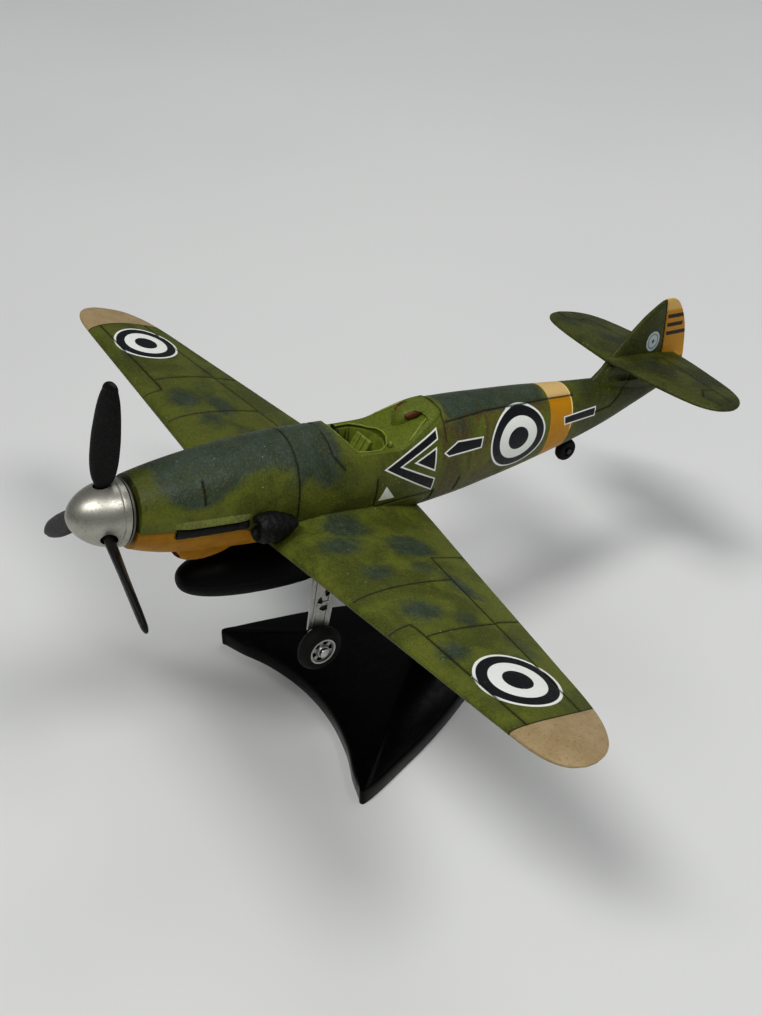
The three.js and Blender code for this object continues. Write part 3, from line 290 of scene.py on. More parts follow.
def bar(start, end, radius, end_radius=None, sides=48, ease=0.0):
    """A round bar between two points; ease rounds its end edges."""
    if end_radius is None:
        end_radius = radius
    a, b = Vector(start), Vector(end)
    turn = (b - a).normalized().to_track_quat("Z", "Y").to_matrix()
    length = (b - a).length
    stations = [(0, radius), (length, end_radius)]
    if ease > 0:
        stations = [(0, radius - ease), (ease * 0.3, radius - ease * 0.3), (ease, radius),
                    (length - ease, end_radius),
                    (length - ease * 0.3, end_radius - ease * 0.3), (length, end_radius - ease)]
    rings = [[list(a + turn @ Vector((r * math.cos(t), r * math.sin(t), z)))
              for t in angles(sides)] for z, r in stations]
    return loft(rings, list(a + turn @ Vector((0, 0, stations[0][0]))),
                list(a + turn @ Vector((0, 0, stations[-1][0]))))


def box(x0, x1, y0, y1, z0, z1, bevel=0.0):
    verts = [(x, y, z) for x in (x0, x1) for y in (y0, y1) for z in (z0, z1)]
    faces = [(0, 1, 3, 2), (4, 6, 7, 5), (0, 4, 5, 1), (2, 3, 7, 6), (0, 2, 6, 4), (1, 5, 7, 3)]
    piece = mesh_object(verts, faces)
    if bevel > 0:
        bevelled(piece, bevel)
    return piece


def plate_yz(points, x0, x1, bevel=0.0):
    """A flat plate from an outline in y, z, reaching from x0 to x1."""
    points = np.array(points, float)
    n = len(points)
    verts = [(x0, y, z) for y, z in points] + [(x1, y, z) for y, z in points]
    faces = [list(range(n - 1, -1, -1)), list(range(n, 2 * n))]
    faces += [(i, (i + 1) % n, n + (i + 1) % n, n + i) for i in range(n)]
    piece = mesh_object(verts, faces)
    if bevel > 0:
        bevelled(piece, bevel)
    return piece


def stacked(outline, levels, tips=()):
    """A plate from one outline: levels of (height, inset). The inset eases off near the tips."""
    p = np.array(outline, float)
    along = np.roll(p, -1, 0) - np.roll(p, 1, 0)
    along /= np.linalg.norm(along, axis=1)[:, None]
    outward = np.stack([along[:, 1], -along[:, 0]], 1)
    if np.sum(p[:, 0] * np.roll(p[:, 1], -1) - np.roll(p[:, 0], -1) * p[:, 1]) < 0:
        p, outward = p[::-1], -outward[::-1]
    ease, reach = np.ones(len(p)), 3.0
    for tip in tips:
        away = np.linalg.norm(p - np.array(tip), axis=1)
        ease = np.minimum(ease, 0.22 + 0.78 * smooth(0.0, reach, away))
    n = len(p)
    verts, faces = [], []
    for height, inset in levels:
        verts += [(u, v, height) for u, v in p - outward * (inset * ease)[:, None]]
    for k in range(len(levels) - 1):
        for i in range(n):
            j = (i + 1) % n
            faces.append((k * n + i, k * n + j, (k + 1) * n + j, (k + 1) * n + i))
    faces.append(list(range(n))[::-1])
    faces.append([(len(levels) - 1) * n + i for i in range(n)])
    return mesh_object(verts, faces)


def strip(side, y, corners):
    """A bar running along y through (distance from the centre plane, height) corners."""
    lines = [np.stack([side * out, y, z + 0 * y], -1) for out, z in corners]
    return loft(np.array(lines).transpose(1, 0, 2))


# ------------------------------------------------------------------ working on pieces
def applied(piece):
    """Turns the piece's modifiers into plain mesh."""
    depsgraph = bpy.context.evaluated_depsgraph_get()
    mesh = bpy.data.meshes.new_from_object(piece.evaluated_get(depsgraph))
    old = piece.data
    piece.modifiers.clear()
    piece.data = mesh
    bpy.data.meshes.remove(old)
    return piece


def bevelled(piece, width, segments=3, angle=35):
    bevel = piece.modifiers.new("edges", "BEVEL")
    bevel.width, bevel.segments = width, segments
    bevel.limit_method, bevel.angle_limit = "ANGLE", math.radians(angle)
    bevel.use_clamp_overlap = True
    return applied(piece)


def boolean(piece, tool, operation):
    """Combines a piece with a tool and uses the tool up."""
    modifier = piece.modifiers.new("cut", "BOOLEAN")
    modifier.operation, modifier.object, modifier.solver = operation, tool, "MANIFOLD"
    applied(piece)
    bpy.data.objects.remove(tool)


def cut(piece, *tools):
    for tool in tools:
        boolean(piece, tool, "DIFFERENCE")


def join(piece, *tools):
    for tool in tools:
        boolean(piece, tool, "UNION")


def trim(piece, tool):
    boolean(piece, tool, "INTERSECT")


def moved(piece, matrix):
    piece.data.transform(matrix)
    return piece


def keep_largest(piece):
    """Drops loose slivers a cut leaves behind."""
    mesh = piece.data
    edges = np.zeros(len(mesh.edges) * 2, np.int32)
    mesh.edges.foreach_get("vertices", edges)
    edges = edges.reshape(-1, 2)
    label = np.arange(len(mesh.vertices))
    while True:
        low = np.minimum(label[edges[:, 0]], label[edges[:, 1]])
        new = label.copy()
        np.minimum.at(new, edges[:, 0], low)
        np.minimum.at(new, edges[:, 1], low)
        new = new[new]
        if (new == label).all():
            break
        label = new
    islands, sizes = np.unique(label, return_counts=True)
    if len(islands) < 2:
        return
    loose = np.nonzero(label != islands[np.argmax(sizes)])[0]
    work = bmesh.new()
    work.from_mesh(mesh)
    work.verts.ensure_lookup_table()
    bmesh.ops.delete(work, geom=[work.verts[i] for i in loose], context="VERTS")
    work.to_mesh(mesh)
    work.free()


def vertex_data(piece, key="co"):
    data = np.zeros(len(piece.data.vertices) * 3, np.float32)
    piece.data.vertices.foreach_get(key, data)
    return data.reshape(-1, 3).astype(float)


def set_coords(piece, places):
    piece.data.vertices.foreach_set("co", places.astype(np.float32).ravel())
    piece.data.update()


def push(piece, amount):
    """Moves each vertex along its normal."""
    set_coords(piece, vertex_data(piece) + vertex_data(piece, "normal") * amount[:, None])


def engrave(piece, distance, depth, width, share=1.0):
    """Sinks a soft groove where the distance from its line is small."""
    push(piece, -depth * np.exp(-((distance / width) ** 2)) * share)


def lines_distance(points, lines):
    nearest = np.full(len(points), 9.0)
    for line in lines:
        for a, b in zip(line[:-1], line[1:]):
            a, b = np.array(a, float), np.array(b, float)
            d = b - a
            t = np.clip(((points - a) @ d) / (d @ d), 0, 1)
            nearest = np.minimum(nearest, np.linalg.norm(points - a - t[:, None] * d, axis=1))
    return nearest


def mirrored_plan(places):
    """Distance from the centre plane and y of each point."""
    return np.stack([np.abs(places[:, 0]), places[:, 1]], 1)


def finish(piece, name, material, node=None, angle=32, body="aeroplane", matrix=PLANE,
           masks=None):
    """Names a piece, puts it in the scene's frame, shades it and hangs it on its CAD body."""
    if masks is not None:
        for key, values in masks(vertex_data(piece)).items():
            attribute = piece.data.attributes.new(key, "FLOAT", "POINT")
            attribute.data.foreach_set("value", np.asarray(values, np.float32))
    piece.data.transform(matrix)
    piece.data.update()
    piece.name = name
    piece.data.name = name
    piece.data.materials.clear()
    piece.data.materials.append(material)
    piece.data.shade_smooth()
    piece.data.set_sharp_from_angle(angle=math.radians(angle))
    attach(piece, body)
    if node:
        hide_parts(node)


# ------------------------------------------------------------------ shader writing
def srgb(*channels):
    """Linear colour from 0-255 sRGB channels."""
    def linear(c):
        return (c / 255) / 12.92 if c / 255 <= 0.04045 else ((c / 255 + 0.055) / 1.055) ** 2.4

    return (*map(linear, channels), 1.0)


def operation(kind, swapped=False):
    def apply(self, other):
        pair = (other, self) if swapped else (self, other)
        return self.paint.math(kind, *pair)

    return apply


class Field:
    """A shader output that takes plain arithmetic; each operation adds one node."""

    __add__ = operation("ADD")
    __sub__ = operation("SUBTRACT")
    __rsub__ = operation("SUBTRACT", swapped=True)
    __mul__ = operation("MULTIPLY")
    __truediv__ = operation("DIVIDE")
    __pow__ = operation("POWER")

    def __init__(self, paint, socket):
        self.paint, self.socket = paint, socket

    def __abs__(self):
        return self.paint.math("ABSOLUTE", self)

    def ramp(self, start, end, low=0.0, high=1.0):
        """Smooth step from low at start to high at end; start may be the larger."""
        if start > end:
            start, end, low, high = end, start, high, low
        inputs = {"Value": self, "From Min": start, "From Max": end,
                  "To Min": low, "To Max": high}
        return self.paint.node("MapRange", inputs, "Result", interpolation_type="SMOOTHSTEP")

    def below(self, edge, soft=0.05):
        """1 under the edge and 0 over it, with a soft change."""
        return self.ramp(edge + soft, edge - soft)


class Paint:
    """Writes one material; its colour is built up in layers."""

    def __init__(self, name):
        self.material = bpy.data.materials.new(name)
        self.material.use_nodes = True
        self.nodes = self.material.node_tree.nodes
        self.links = self.material.node_tree.links
        self.nodes.clear()
        output = self.nodes.new("ShaderNodeOutputMaterial")
        self.shader = self.nodes.new("ShaderNodeBsdfPrincipled")
        self.links.new(self.shader.outputs[0], output.inputs["Surface"])
        self.color = None

    def put(self, socket, value):
        if isinstance(value, Field):
            self.links.new(value.socket, socket)
        else:
            socket.default_value = value

    def node(self, kind, inputs, output=0, **settings):
        node = self.nodes.new("ShaderNode" + kind)
        for key, value in settings.items():
            setattr(node, key, value)
        for key, value in inputs.items():
            self.put(node.inputs[key], value)
        return Field(self, node.outputs[output])

    def math(self, kind, *values, clamp=False):
        return self.node("Math", dict(enumerate(values)), operation=kind, use_clamp=clamp)

    def fold(self, kind, values):
        result = values[0]
        for value in values[1:]:
            result = self.math(kind, result, value)
        return result

    def smallest(self, *values):
        return self.fold("MINIMUM", values)

    def largest(self, *values):
        return self.fold("MAXIMUM", values)

    def vector(self, x, y):
        return self.node("CombineXYZ", {0: x, 1: y, 2: 0.0})

    def vector_math(self, kind, *values, scale=None):
        inputs = dict(enumerate(values))
        if scale is not None:
            inputs["Scale"] = scale
        output = "Value" if kind in ("DOT_PRODUCT", "LENGTH") else 0
        return self.node("VectorMath", inputs, output, operation=kind)

    def scene_place(self):
        """Position in the scene's frame in millimetres."""
        return self.vector_math("SCALE", self.node("TexCoord", {}, "Object"), scale=1000.0)

    def plane_place(self):
        """Position in the aeroplane's frame in millimetres: vector, x, y, z."""
        offset = self.vector_math("SUBTRACT", self.scene_place(), tuple(ORIGIN))
        place = self.node("VectorRotate", {"Angle": PITCH, "Vector": offset},
                          rotation_type="X_AXIS")
        split = self.nodes.new("ShaderNodeSeparateXYZ")
        self.put(split.inputs[0], place)
        return (place, *(Field(self, socket) for socket in split.outputs))

    def noise(self, place, scale, detail, roughness=0.5, distortion=0.0):
        inputs = {"Vector": place, "Scale": scale, "Detail": detail,
                  "Roughness": roughness, "Distortion": distortion}
        return self.node("TexNoise", inputs, "Fac")

    def voronoi(self, place, scale):
        return self.node("TexVoronoi", {"Vector": place, "Scale": scale}, "Distance")

    def occlusion(self, distance):
        return self.node("AmbientOcclusion", {"Distance": distance}, "AO", samples=4)

    def attribute(self, name):
        return self.node("Attribute", {}, "Fac", attribute_name=name)

    def mix(self, factor, a, b):
        return self.node("Mix", {0: factor, 6: a, 7: b}, 2, data_type="RGBA")

    def over(self, mask, color):
        """Lays a colour over what is there, where the mask is 1."""
        self.color = self.mix(mask, self.color, color)

    def segment(self, place, a, b):
        """Distance in a plane from place to the segment a-b."""
        a, b = np.array(a, float), np.array(b, float)
        d = b - a
        offset = self.vector_math("SUBTRACT", place, (a[0], a[1], 0.0))
        along = self.vector_math("DOT_PRODUCT", offset, (d[0], d[1], 0.0))
        share = self.math("DIVIDE", along, float(d @ d), clamp=True)
        foot = self.vector_math("SCALE", (d[0], d[1], 0.0), scale=share)
        return self.vector_math("LENGTH", self.vector_math("SUBTRACT", offset, foot))

    def lines(self, place, lines):
        return self.smallest(*[self.segment(place, a, b)
                               for line in lines for a, b in zip(line[:-1], line[1:])])

    def polygon(self, place, points):
        """Signed distance, near enough, to a convex polygon: negative inside."""
        points = np.array(points, float)
        if sum(a[0] * b[1] - b[0] * a[1] for a, b in zip(np.roll(points, 1, 0), points)) < 0:
            points = points[::-1]
        edges = []
        for a, b in zip(points, np.roll(points, -1, 0)):
            d = (b - a) / np.linalg.norm(b - a)
            across = self.vector_math("DOT_PRODUCT", place, (d[1], -d[0], 0.0))
            edges.append(across - float(d[1] * a[0] - d[0] * a[1]))
        return self.largest(*edges)

    def ellipse(self, place, centre, radii):
        """1 on the ellipse, less inside."""
        offset = self.vector_math("SUBTRACT", place, (*centre, 0.0))
        scaled = self.vector_math("MULTIPLY", offset, (1 / radii[0], 1 / radii[1], 0.0))
        return self.vector_math("LENGTH", scaled)

    def bump(self, height, strength, distance):
        """Surface relief; the distance is in metres."""
        return self.node("Bump", {"Strength": strength, "Distance": distance, "Height": height})

    def surface(self, roughness, normal, specular, metallic=0.0):
        values = {"Base Color": self.color, "Roughness": roughness, "Metallic": metallic,
                  "Specular IOR Level": specular, "Coat Weight": 0.0, "Coat Roughness": 0.1,
                  "Normal": normal}
        for key, value in values.items():
            self.put(self.shader.inputs[key], value)
        return self.material


MOSS = srgb(96, 102, 35)
MOSS_DARK = srgb(74, 80, 27)
MOSS_LIGHT = srgb(112, 120, 48)
BLUE_GREY = srgb(58, 70, 66)
BLUE_GREY_DARK = srgb(48, 60, 50)
BROWN = srgb(94, 80, 48)
BROWN_DARK = srgb(78, 62, 34)
DECK_GREEN = srgb(104, 116, 34)
DECK_GREEN_DARK = srgb(88, 100, 28)
SHELF_WORN = srgb(122, 126, 76)
TAN = srgb(156, 136, 100)
TAN_LIGHT = srgb(168, 148, 114)
SPECKLE = srgb(132, 98, 52)
YELLOW = srgb(186, 132, 4)
YELLOW_DARK = srgb(172, 116, 3)
INK = srgb(20, 21, 26)
CHALK = srgb(232, 234, 229)
# dark olive for dirt in engraved lines and paint grain, and for painted shade
GRIME_AND_SHADE = srgb(28, 30, 12)


# ------------------------------------------------------------------ camouflage paint
def stencil(paint, distance, border=0.22):
    """A dark shape with a pale border."""
    paint.over(distance.below(0.0), CHALK)
    paint.over(distance.below(-border), INK)


def target(paint, reach, edges, soft):
    """A disc of rings, pale and dark by turns from the outside in."""
    for edge, color in zip(edges, (CHALK, INK, CHALK, INK)):
        paint.over(reach.below(edge, soft), color)


def fuselage_ground(paint, place, y, z, patches, fine, grain):
    """Brown patches, the bright deck, the worn exhaust shelf and painted shade darkening the tail.
    """
    stretched = paint.vector_math("MULTIPLY", place, (1, 1.5, 0.3))
    streaks = paint.noise(stretched, scale=0.62, detail=4.0, roughness=0.6)
    brown = paint.attribute("brown") + ((streaks - 0.5) * 2.6 + (patches - 0.5) * 1.2)
    paint.over(brown.ramp(0.22, 0.85) * 0.85,
               paint.mix(fine.ramp(0.35, 0.65), BROWN, BROWN_DARK))
    paint.over(paint.attribute("deck") * 0.8,
               paint.mix(fine.ramp(0.35, 0.65), DECK_GREEN, DECK_GREEN_DARK))
    # the shelf's extent in height and length
    shelf = (z.ramp(0.0, 0.12) * z.ramp(0.98, 0.8)) * (y.ramp(11.0, 11.4) * y.ramp(21.2, 20.8))
    shelf = shelf * (fine + grain * 0.3).ramp(0.35, 0.95)
    paint.over(shelf * 0.5, SHELF_WORN)
    # painted shade: darker towards the tail
    paint.over(y.ramp(70.0, 82.0) * 0.58, GRIME_AND_SHADE)


def tail_band(paint, y, z, patches, fine):
    """The yellow band round the rear fuselage, tan on top and below."""
    tan_top = (z + (fine - 0.5) * 0.3).ramp(7.85, 8.15)
    tan_low = (z + (y - 70.0) * -0.2).ramp(0.6, 0.35)
    band = paint.largest(69.9 - y, y - 74.6)
    color = paint.mix(patches.ramp(0.4, 0.7) * 0.35, YELLOW, YELLOW_DARK)
    color = paint.mix(tan_top, color, srgb(208, 176, 118))
    color = paint.mix(tan_low * 0.65, color, srgb(196, 148, 78))
    paint.over(band.below(0.0, soft=0.06), color)
    paint.over(abs(y - 74.45).below(0.14) * z.ramp(3.0, 3.6), srgb(222, 196, 130))


def flank_marks(paint, side, y):
    """Chevron, triangles, bars and the ringed disc; points are y, z."""
    outer = paint.polygon(side, [(40.2, 3.2), (49.3, 7.45), (49.3, -1.55)])
    inner = paint.polygon(side, [(43.2, 3.2), (54.2, 8.35), (54.2, -1.65)])
    stencil(paint, paint.largest(paint.largest(outer, inner * -1.0), y - 48.95), border=0.2)
    stencil(paint, paint.polygon(side, [(45.0, 3.4), (48.7, 5.05), (48.7, 1.7)]))
    low_triangle = paint.polygon(side, [(39.9, -1.15), (40.8, 0.9), (42.6, -1.15)])
    paint.over(low_triangle.below(0.0), CHALK)
    for points in ([(49.9, 4.0), (52.3, 5.3), (56.9, 5.25), (56.6, 3.7), (50.8, 3.35)],
                   [(72.7, 5.5), (79.7, 5.95), (79.7, 4.45), (73.0, 4.15)]):
        stencil(paint, paint.polygon(side, points), border=0.2)
    disc = paint.ellipse(side, centre=(63.7, 3.85), radii=(5.3, 4.5))
    target(paint, disc, edges=(1.0, 0.94, 0.68, 0.36), soft=0.008)


def fin_marks(paint, side, y, z):
    """A pale disc on the fin and a yellow rudder with three dark bars."""
    disc = paint.ellipse(side, centre=(90.9, 14.1), radii=(1.4, 1.55))
    paint.over(disc.below(1.0, soft=0.03), srgb(188, 200, 200))
    paint.over(abs(disc - 0.72).below(0.07, soft=0.03), srgb(120, 138, 142))
    paint.over(disc.below(0.2, soft=0.04), srgb(74, 92, 98))
    behind_hinge = (y - 92.15) - (20.0 - z) * 0.187
    rudder = behind_hinge.ramp(0.1, 0.18) * z.ramp(10.7, 10.85)
    paint.over(rudder, paint.mix(z.ramp(18.5, 19.0), YELLOW, srgb(206, 170, 96)))
    for bar_z in (17.75, 16.4, 15.05):
        aft_end = y.ramp(97.2, 97.05) if bar_z > 16 else 1.0  # the lowest runs to the edge
        mask = (abs(z - bar_z).below(0.31) * behind_hinge.ramp(0.45, 0.55)) * aft_end
        paint.over(mask, srgb(30, 21, 8))


def fuselage_marks(paint, y, z, patches, fine):
    """Paints the fuselage's marks; gives the distance to its engraved lines."""
    side = paint.vector(y, z)
    tail_band(paint, y, z, patches, fine)
    flank_marks(paint, side, y)
    fin_marks(paint, side, y, z)
    # two rings round the body, the first below the flank only, the second above it
    rings = paint.smallest(abs(y - 27.5) + z.ramp(-2.2, -2.9, 0, 3),
                           abs(y - 50.3) + z.ramp(5.5, 5.1, 0, 3))
    return paint.smallest(paint.lines(side, SIDE_LINES + FIN_LINES), rings)


def wing_marks(paint, place, x, y, patches):
    """Paints the wing's discs and tips; gives the distance to its engraved lines."""
    out = abs(x)
    top = paint.vector(out, y)
    disc = paint.ellipse(top, centre=(43.65, 30.9), radii=(4.9, 4.75))
    target(paint, disc, edges=(1.0, 0.93, 0.67, 0.35), soft=0.01)

    def bowed():
        return out + ((y - 30.5) / 6.0) ** 2.0 * 0.5

    tip_start = 50.35
    tip = bowed().ramp(tip_start, 50.5)
    spots = paint.noise(place, scale=3.4, detail=3.0, roughness=0.75).ramp(0.56, 0.68)
    tan = paint.mix(patches.ramp(0.3, 0.7), TAN, TAN_LIGHT)
    paint.over(tip, paint.mix(spots * 0.75, tan, SPECKLE))
    paint.over(abs(bowed() - tip_start).below(0.09) * 0.8, GRIME_AND_SHADE)
    return paint.lines(top, WING_LINES)


def camouflage(part):
    """Mottled green paint with the marks, engraved lines and wear of one part, and painted shade on
    the tail and the starboard wing.
    """
    paint = Paint("camouflage_" + part)
    place, x, y, z = paint.plane_place()
    on_body = part in ("fuselage", "insert")
    broad = paint.noise(place, scale=0.16, detail=3.0, roughness=0.55, distortion=0.6)
    patches = paint.noise(place, scale=0.55, detail=4.0, roughness=0.6)
    fine = paint.noise(place, scale=2.6, detail=4.0, roughness=0.65)
    grain = paint.noise(place, scale=3.6, detail=3.0, roughness=0.75)

    # two close greens, with blue-grey blotches from the attribute plus noise
    paint.color = MOSS
    paint.over(broad.ramp(0.38, 0.62), MOSS_DARK)
    paint.over(fine.ramp(0.52, 0.72) * 0.3, MOSS_LIGHT)
    blue = paint.attribute("blue") + ((patches - 0.5) * 0.85 + (fine - 0.5) * 0.3)
    paint.over(blue.ramp(0.2, 0.8) * 0.88,
               paint.mix(patches.ramp(0.35, 0.65), BLUE_GREY, BLUE_GREY_DARK))
    if on_body:
        fuselage_ground(paint, place, y, z, patches, fine, grain)
    elif part == "tail":
        # painted shade: the tail part darkened all over
        paint.over(broad.ramp(0.35, 0.65, 0.52, 0.68), GRIME_AND_SHADE)
    else:
        # painted shade: the starboard wing, which gets less light, is darkened
        paint.over(x.ramp(0.0, -12.0) * 0.2, GRIME_AND_SHADE)  # starboard wing a little darker

    # lighter and darker grain, as thick sprayed paint has
    paint.over(grain.ramp(0.52, 0.68) * 0.32, MOSS_LIGHT)
    paint.over(grain.ramp(0.47, 0.33) * 0.38, GRIME_AND_SHADE)
    roughness = fine.ramp(0.3, 0.7, 0.4, 0.56)

    if on_body:
        distance = fuselage_marks(paint, y, z, patches, fine)
    elif part == "wing":
        distance = wing_marks(paint, place, x, y, patches)
    else:
        distance = paint.lines(paint.vector(abs(x), y), TAIL_LINES)

    # dirt in the engraved lines, narrow and strong, then wide and faint
    wavy = distance + (grain - 0.5) * 0.06
    paint.over(wavy.ramp(0.16, 0.05) * 0.82, GRIME_AND_SHADE)
    paint.over(wavy.ramp(0.6, 0.1) * 0.16, GRIME_AND_SHADE)

    # scratches drawn out along the body, and specks of dust
    stretched = paint.vector_math("MULTIPLY", place, (2.4, 0.45, 2.4))
    scratch = paint.noise(stretched, scale=1.3, detail=5.0, roughness=0.75, distortion=1.2)
    paint.over((scratch.ramp(0.695, 0.74) * broad.ramp(0.5, 0.6)) * 0.35, srgb(168, 172, 140))
    dust = (paint.voronoi(place, scale=0.9).ramp(0.085, 0.05)
            * paint.noise(place, scale=0.35, detail=2.0).ramp(0.5, 0.57))
    paint.over(dust * 0.6, srgb(176, 182, 160))

    lumps = paint.noise(place, scale=1.1, detail=3.0, roughness=0.6, distortion=0.8)
    height = ((grain * 0.6 + fine * 1.0)
              + (wavy.ramp(0.25, 0.05) * -1.2 + (lumps * 2.2 + dust * 1.0)))
    normal = paint.bump(height, strength=0.45, distance=0.00009)
    return paint.surface(roughness, normal, specular=0.28)


# ------------------------------------------------------------------ plain materials
def chin_yellow():
    paint = Paint("chin_yellow_paint")
    place, _, _, z = paint.plane_place()
    broad = paint.noise(place, scale=0.5, detail=4.0, roughness=0.6)
    fine = paint.noise(place, scale=7.0, detail=3.0, roughness=0.6)
    paint.color = srgb(172, 122, 2)
    paint.over(broad.ramp(0.35, 0.7), srgb(156, 106, 1))
    paint.over(fine.ramp(0.5, 0.75) * 0.18, srgb(150, 84, 10))
    # darker along the top edge where it meets the green above, and painted shade darkening the
    # underside
    upper_edge = -0.35
    paint.over((z - upper_edge).ramp(-0.45, 0.0) * 0.6, srgb(96, 84, 22))
    paint.over(z.ramp(-5.4, -7.3) * 0.35, srgb(140, 80, 8))
    normal = paint.bump(broad + fine * 0.4, strength=0.3, distance=0.00006)
    return paint.surface(fine.ramp(0.3, 0.7, 0.36, 0.5), normal, specular=0.2)


def black(name, base, worn, roughness, speck, scale=1.0, relief=0.5, specular=0.22):
    """Black plastic or rubber; worn colours its patches and speck is its dots' strength."""
    paint = Paint(name)
    place = paint.scene_place()
    broad = paint.noise(place, scale=2.2 * scale, detail=5.0, roughness=0.7)
    fine = paint.noise(place, scale=9.0 * scale, detail=3.0, roughness=0.7)
    paint.color = srgb(*base)
    paint.over(broad.ramp(0.45, 0.75) * 0.5, srgb(*worn))
    paint.over(fine.ramp(0.62, 0.72) * speck, srgb(92, 90, 84))
    normal = paint.bump(broad + fine * 0.6, strength=relief, distance=0.00008)
    return paint.surface(broad.ramp(0.3, 0.7, *roughness), normal, specular)


def silver(name, dirt=0.45, base=(178, 178, 174), roughness=(0.32, 0.46), metallic=0.5,
           pitting=0.7):
    """Silver paint or metal, speckled with dirt, with painted shade in its corners."""
    paint = Paint(name)
    place = paint.scene_place()
    broad = paint.noise(place, scale=0.5, detail=5.0, roughness=0.65)
    fine = paint.noise(place, scale=6.0, detail=4.0, roughness=0.75)
    paint.color = srgb(*base)
    paint.over(broad.ramp(0.4, 0.7) * 0.3, srgb(132, 130, 126))
    paint.over(fine.ramp(0.55, 0.7) * dirt, srgb(88, 84, 78))
    pits = (paint.voronoi(place, scale=3.2).ramp(0.2, 0.1)
            * paint.noise(place, scale=0.9, detail=3.0).ramp(0.44, 0.56))
    paint.over(pits * pitting, srgb(70, 66, 60))
    # painted shade: darker in corners and recesses, from ambient occlusion
    paint.over(paint.occlusion(distance=0.0012).ramp(0.85, 0.35), srgb(38, 36, 34))
    normal = paint.bump(broad * 0.8 + fine * 0.5, strength=0.35, distance=0.00006)
    return paint.surface(fine.ramp(0.3, 0.7, *roughness), normal, 0.5, metallic)


def plain(name, base, dark, roughness, scale, metallic=0.0, painted_corner_shade=True):
    """One colour clouded with a darker one, with painted shade in its corners unless turned off."""
    paint = Paint(name)
    place = paint.scene_place()
    broad = paint.noise(place, scale=scale, detail=4.0, roughness=0.6)
    fine = paint.noise(place, scale=scale * 5, detail=3.0, roughness=0.6)
    paint.color = srgb(*base)
    paint.over(broad.ramp(0.3, 0.7), srgb(*dark))
    paint.over(fine.ramp(0.55, 0.75) * 0.2, srgb(*dark))
    if painted_corner_shade:
        # painted shade: corners and recesses darkened, from ambient occlusion
        corners = paint.occlusion(distance=0.002).ramp(0.9, 0.25)
        paint.over(corners, paint.mix(0.8, paint.color, srgb(20, 20, 8)))
    normal = paint.bump(broad + fine * 0.4, strength=0.3, distance=0.00005)
    return paint.surface(broad.ramp(0.3, 0.7, *roughness), normal, 0.45, metallic)


CAMO_FUSELAGE = camouflage("fuselage")
CAMO_INSERT = camouflage("insert")
CAMO_WING = camouflage("wing")
CAMO_TAIL = camouflage("tail")
CHIN_YELLOW = chin_yellow()
PROPELLER_BLACK = black("propeller_black", base=(17, 16, 16), worn=(40, 38, 36),
                        roughness=(0.3, 0.48), speck=0.8, scale=1.2)
SATIN_BLACK = black("satin_black", base=(17, 17, 17), worn=(38, 37, 35),
                    roughness=(0.36, 0.52), speck=0.4, relief=0.6)
TANK_BLACK = black("tank_black", base=(5, 5, 5), worn=(12, 12, 11),
                   roughness=(0.42, 0.6), speck=0.12, scale=0.8, specular=0.12)
STAND_BLACK = black("stand_gloss_black", base=(4, 4, 5), worn=(8, 8, 8),
                    roughness=(0.2, 0.3), speck=0.0, scale=0.25, relief=0.1, specular=0.14)
TYRE_RUBBER = black("tyre_rubber", base=(14, 14, 14), worn=(30, 30, 29),
                    roughness=(0.6, 0.78), speck=0.15, scale=1.5, relief=0.6)
WORN_SILVER = silver("worn_silver")
SPINNER_SILVER = silver("spinner_silver", dirt=0.8, base=(178, 176, 166),
                        roughness=(0.3, 0.46), metallic=0.85)
RIM_SILVER = silver("spinner_rim_silver", dirt=0.7, base=(112, 110, 104),
                    roughness=(0.36, 0.52), metallic=0.8)
TARNISHED_STEEL = silver("tarnished_steel", dirt=0.5, base=(62, 60, 56),
                         roughness=(0.35, 0.5), metallic=0.8)
BRIGHT_STEEL = silver("bright_steel", dirt=0.25, base=(190, 190, 188),
                      roughness=(0.22, 0.34), metallic=1.0, pitting=0.0)
BRASS = plain("bushing_brass", base=(176, 134, 60), dark=(140, 100, 40),
              roughness=(0.3, 0.4), scale=1.5, metallic=1.0, painted_corner_shade=False)
COCKPIT_GREEN = plain("cockpit_light_green", base=(132, 142, 56), dark=(108, 120, 40),
                      roughness=(0.4, 0.55), scale=1.2)
SEAT_GREEN = plain("seat_green", base=(126, 136, 50), dark=(100, 112, 36),
                   roughness=(0.4, 0.55), scale=1.6)
PANEL_DARK = plain("panel_dark", base=(34, 36, 24), dark=(18, 20, 12),
                   roughness=(0.45, 0.6), scale=3.0)
HEADREST_BROWN = plain("headrest_brown", base=(118, 66, 26), dark=(70, 38, 16),
                       roughness=(0.4, 0.6), scale=3.5)
RECESS_BLACK = plain("recess_black", base=(12, 12, 12), dark=(22, 22, 20),
                     roughness=(0.5, 0.7), scale=3.0, painted_corner_shade=False)


# ------------------------------------------------------------------ paint masks
# blots are: centre u, centre v, radius u, radius v, strength
FUSELAGE_BLOTS = [
    (53, 6.9, 2.2, 1.5, 0.8), (31.5, 4.2, 2.8, 2.0, 0.9), (78, 8.2, 4, 1.4, 0.5),
    (86.5, 12, 1.6, 1.6, 0.5), (60, 0.5, 3, 1.5, 0.4), (90, 17, 2.5, 2.0, 0.35)]
WING_BLOTS_PORT = [
    (8.5, 33.0, 2.6, 3.0, 0.95), (12.2, 30.0, 2.3, 3.0, 0.85), (14.5, 39.0, 2.7, 2.9, 1.0),
    (19.4, 30.3, 2.0, 2.4, 0.75), (20.0, 36.8, 2.0, 2.2, 0.6), (24.8, 39.0, 3.8, 1.2, 0.8),
    (28.4, 30.0, 2.4, 2.6, 0.85), (31.5, 33.8, 2.2, 2.0, 0.55), (36.6, 27.9, 1.8, 1.8, 0.8),
    (40.2, 34.0, 2.0, 1.4, 0.6), (38.5, 36.5, 3.0, 1.3, 0.55), (9.0, 43.5, 2.0, 2.0, 0.4)]
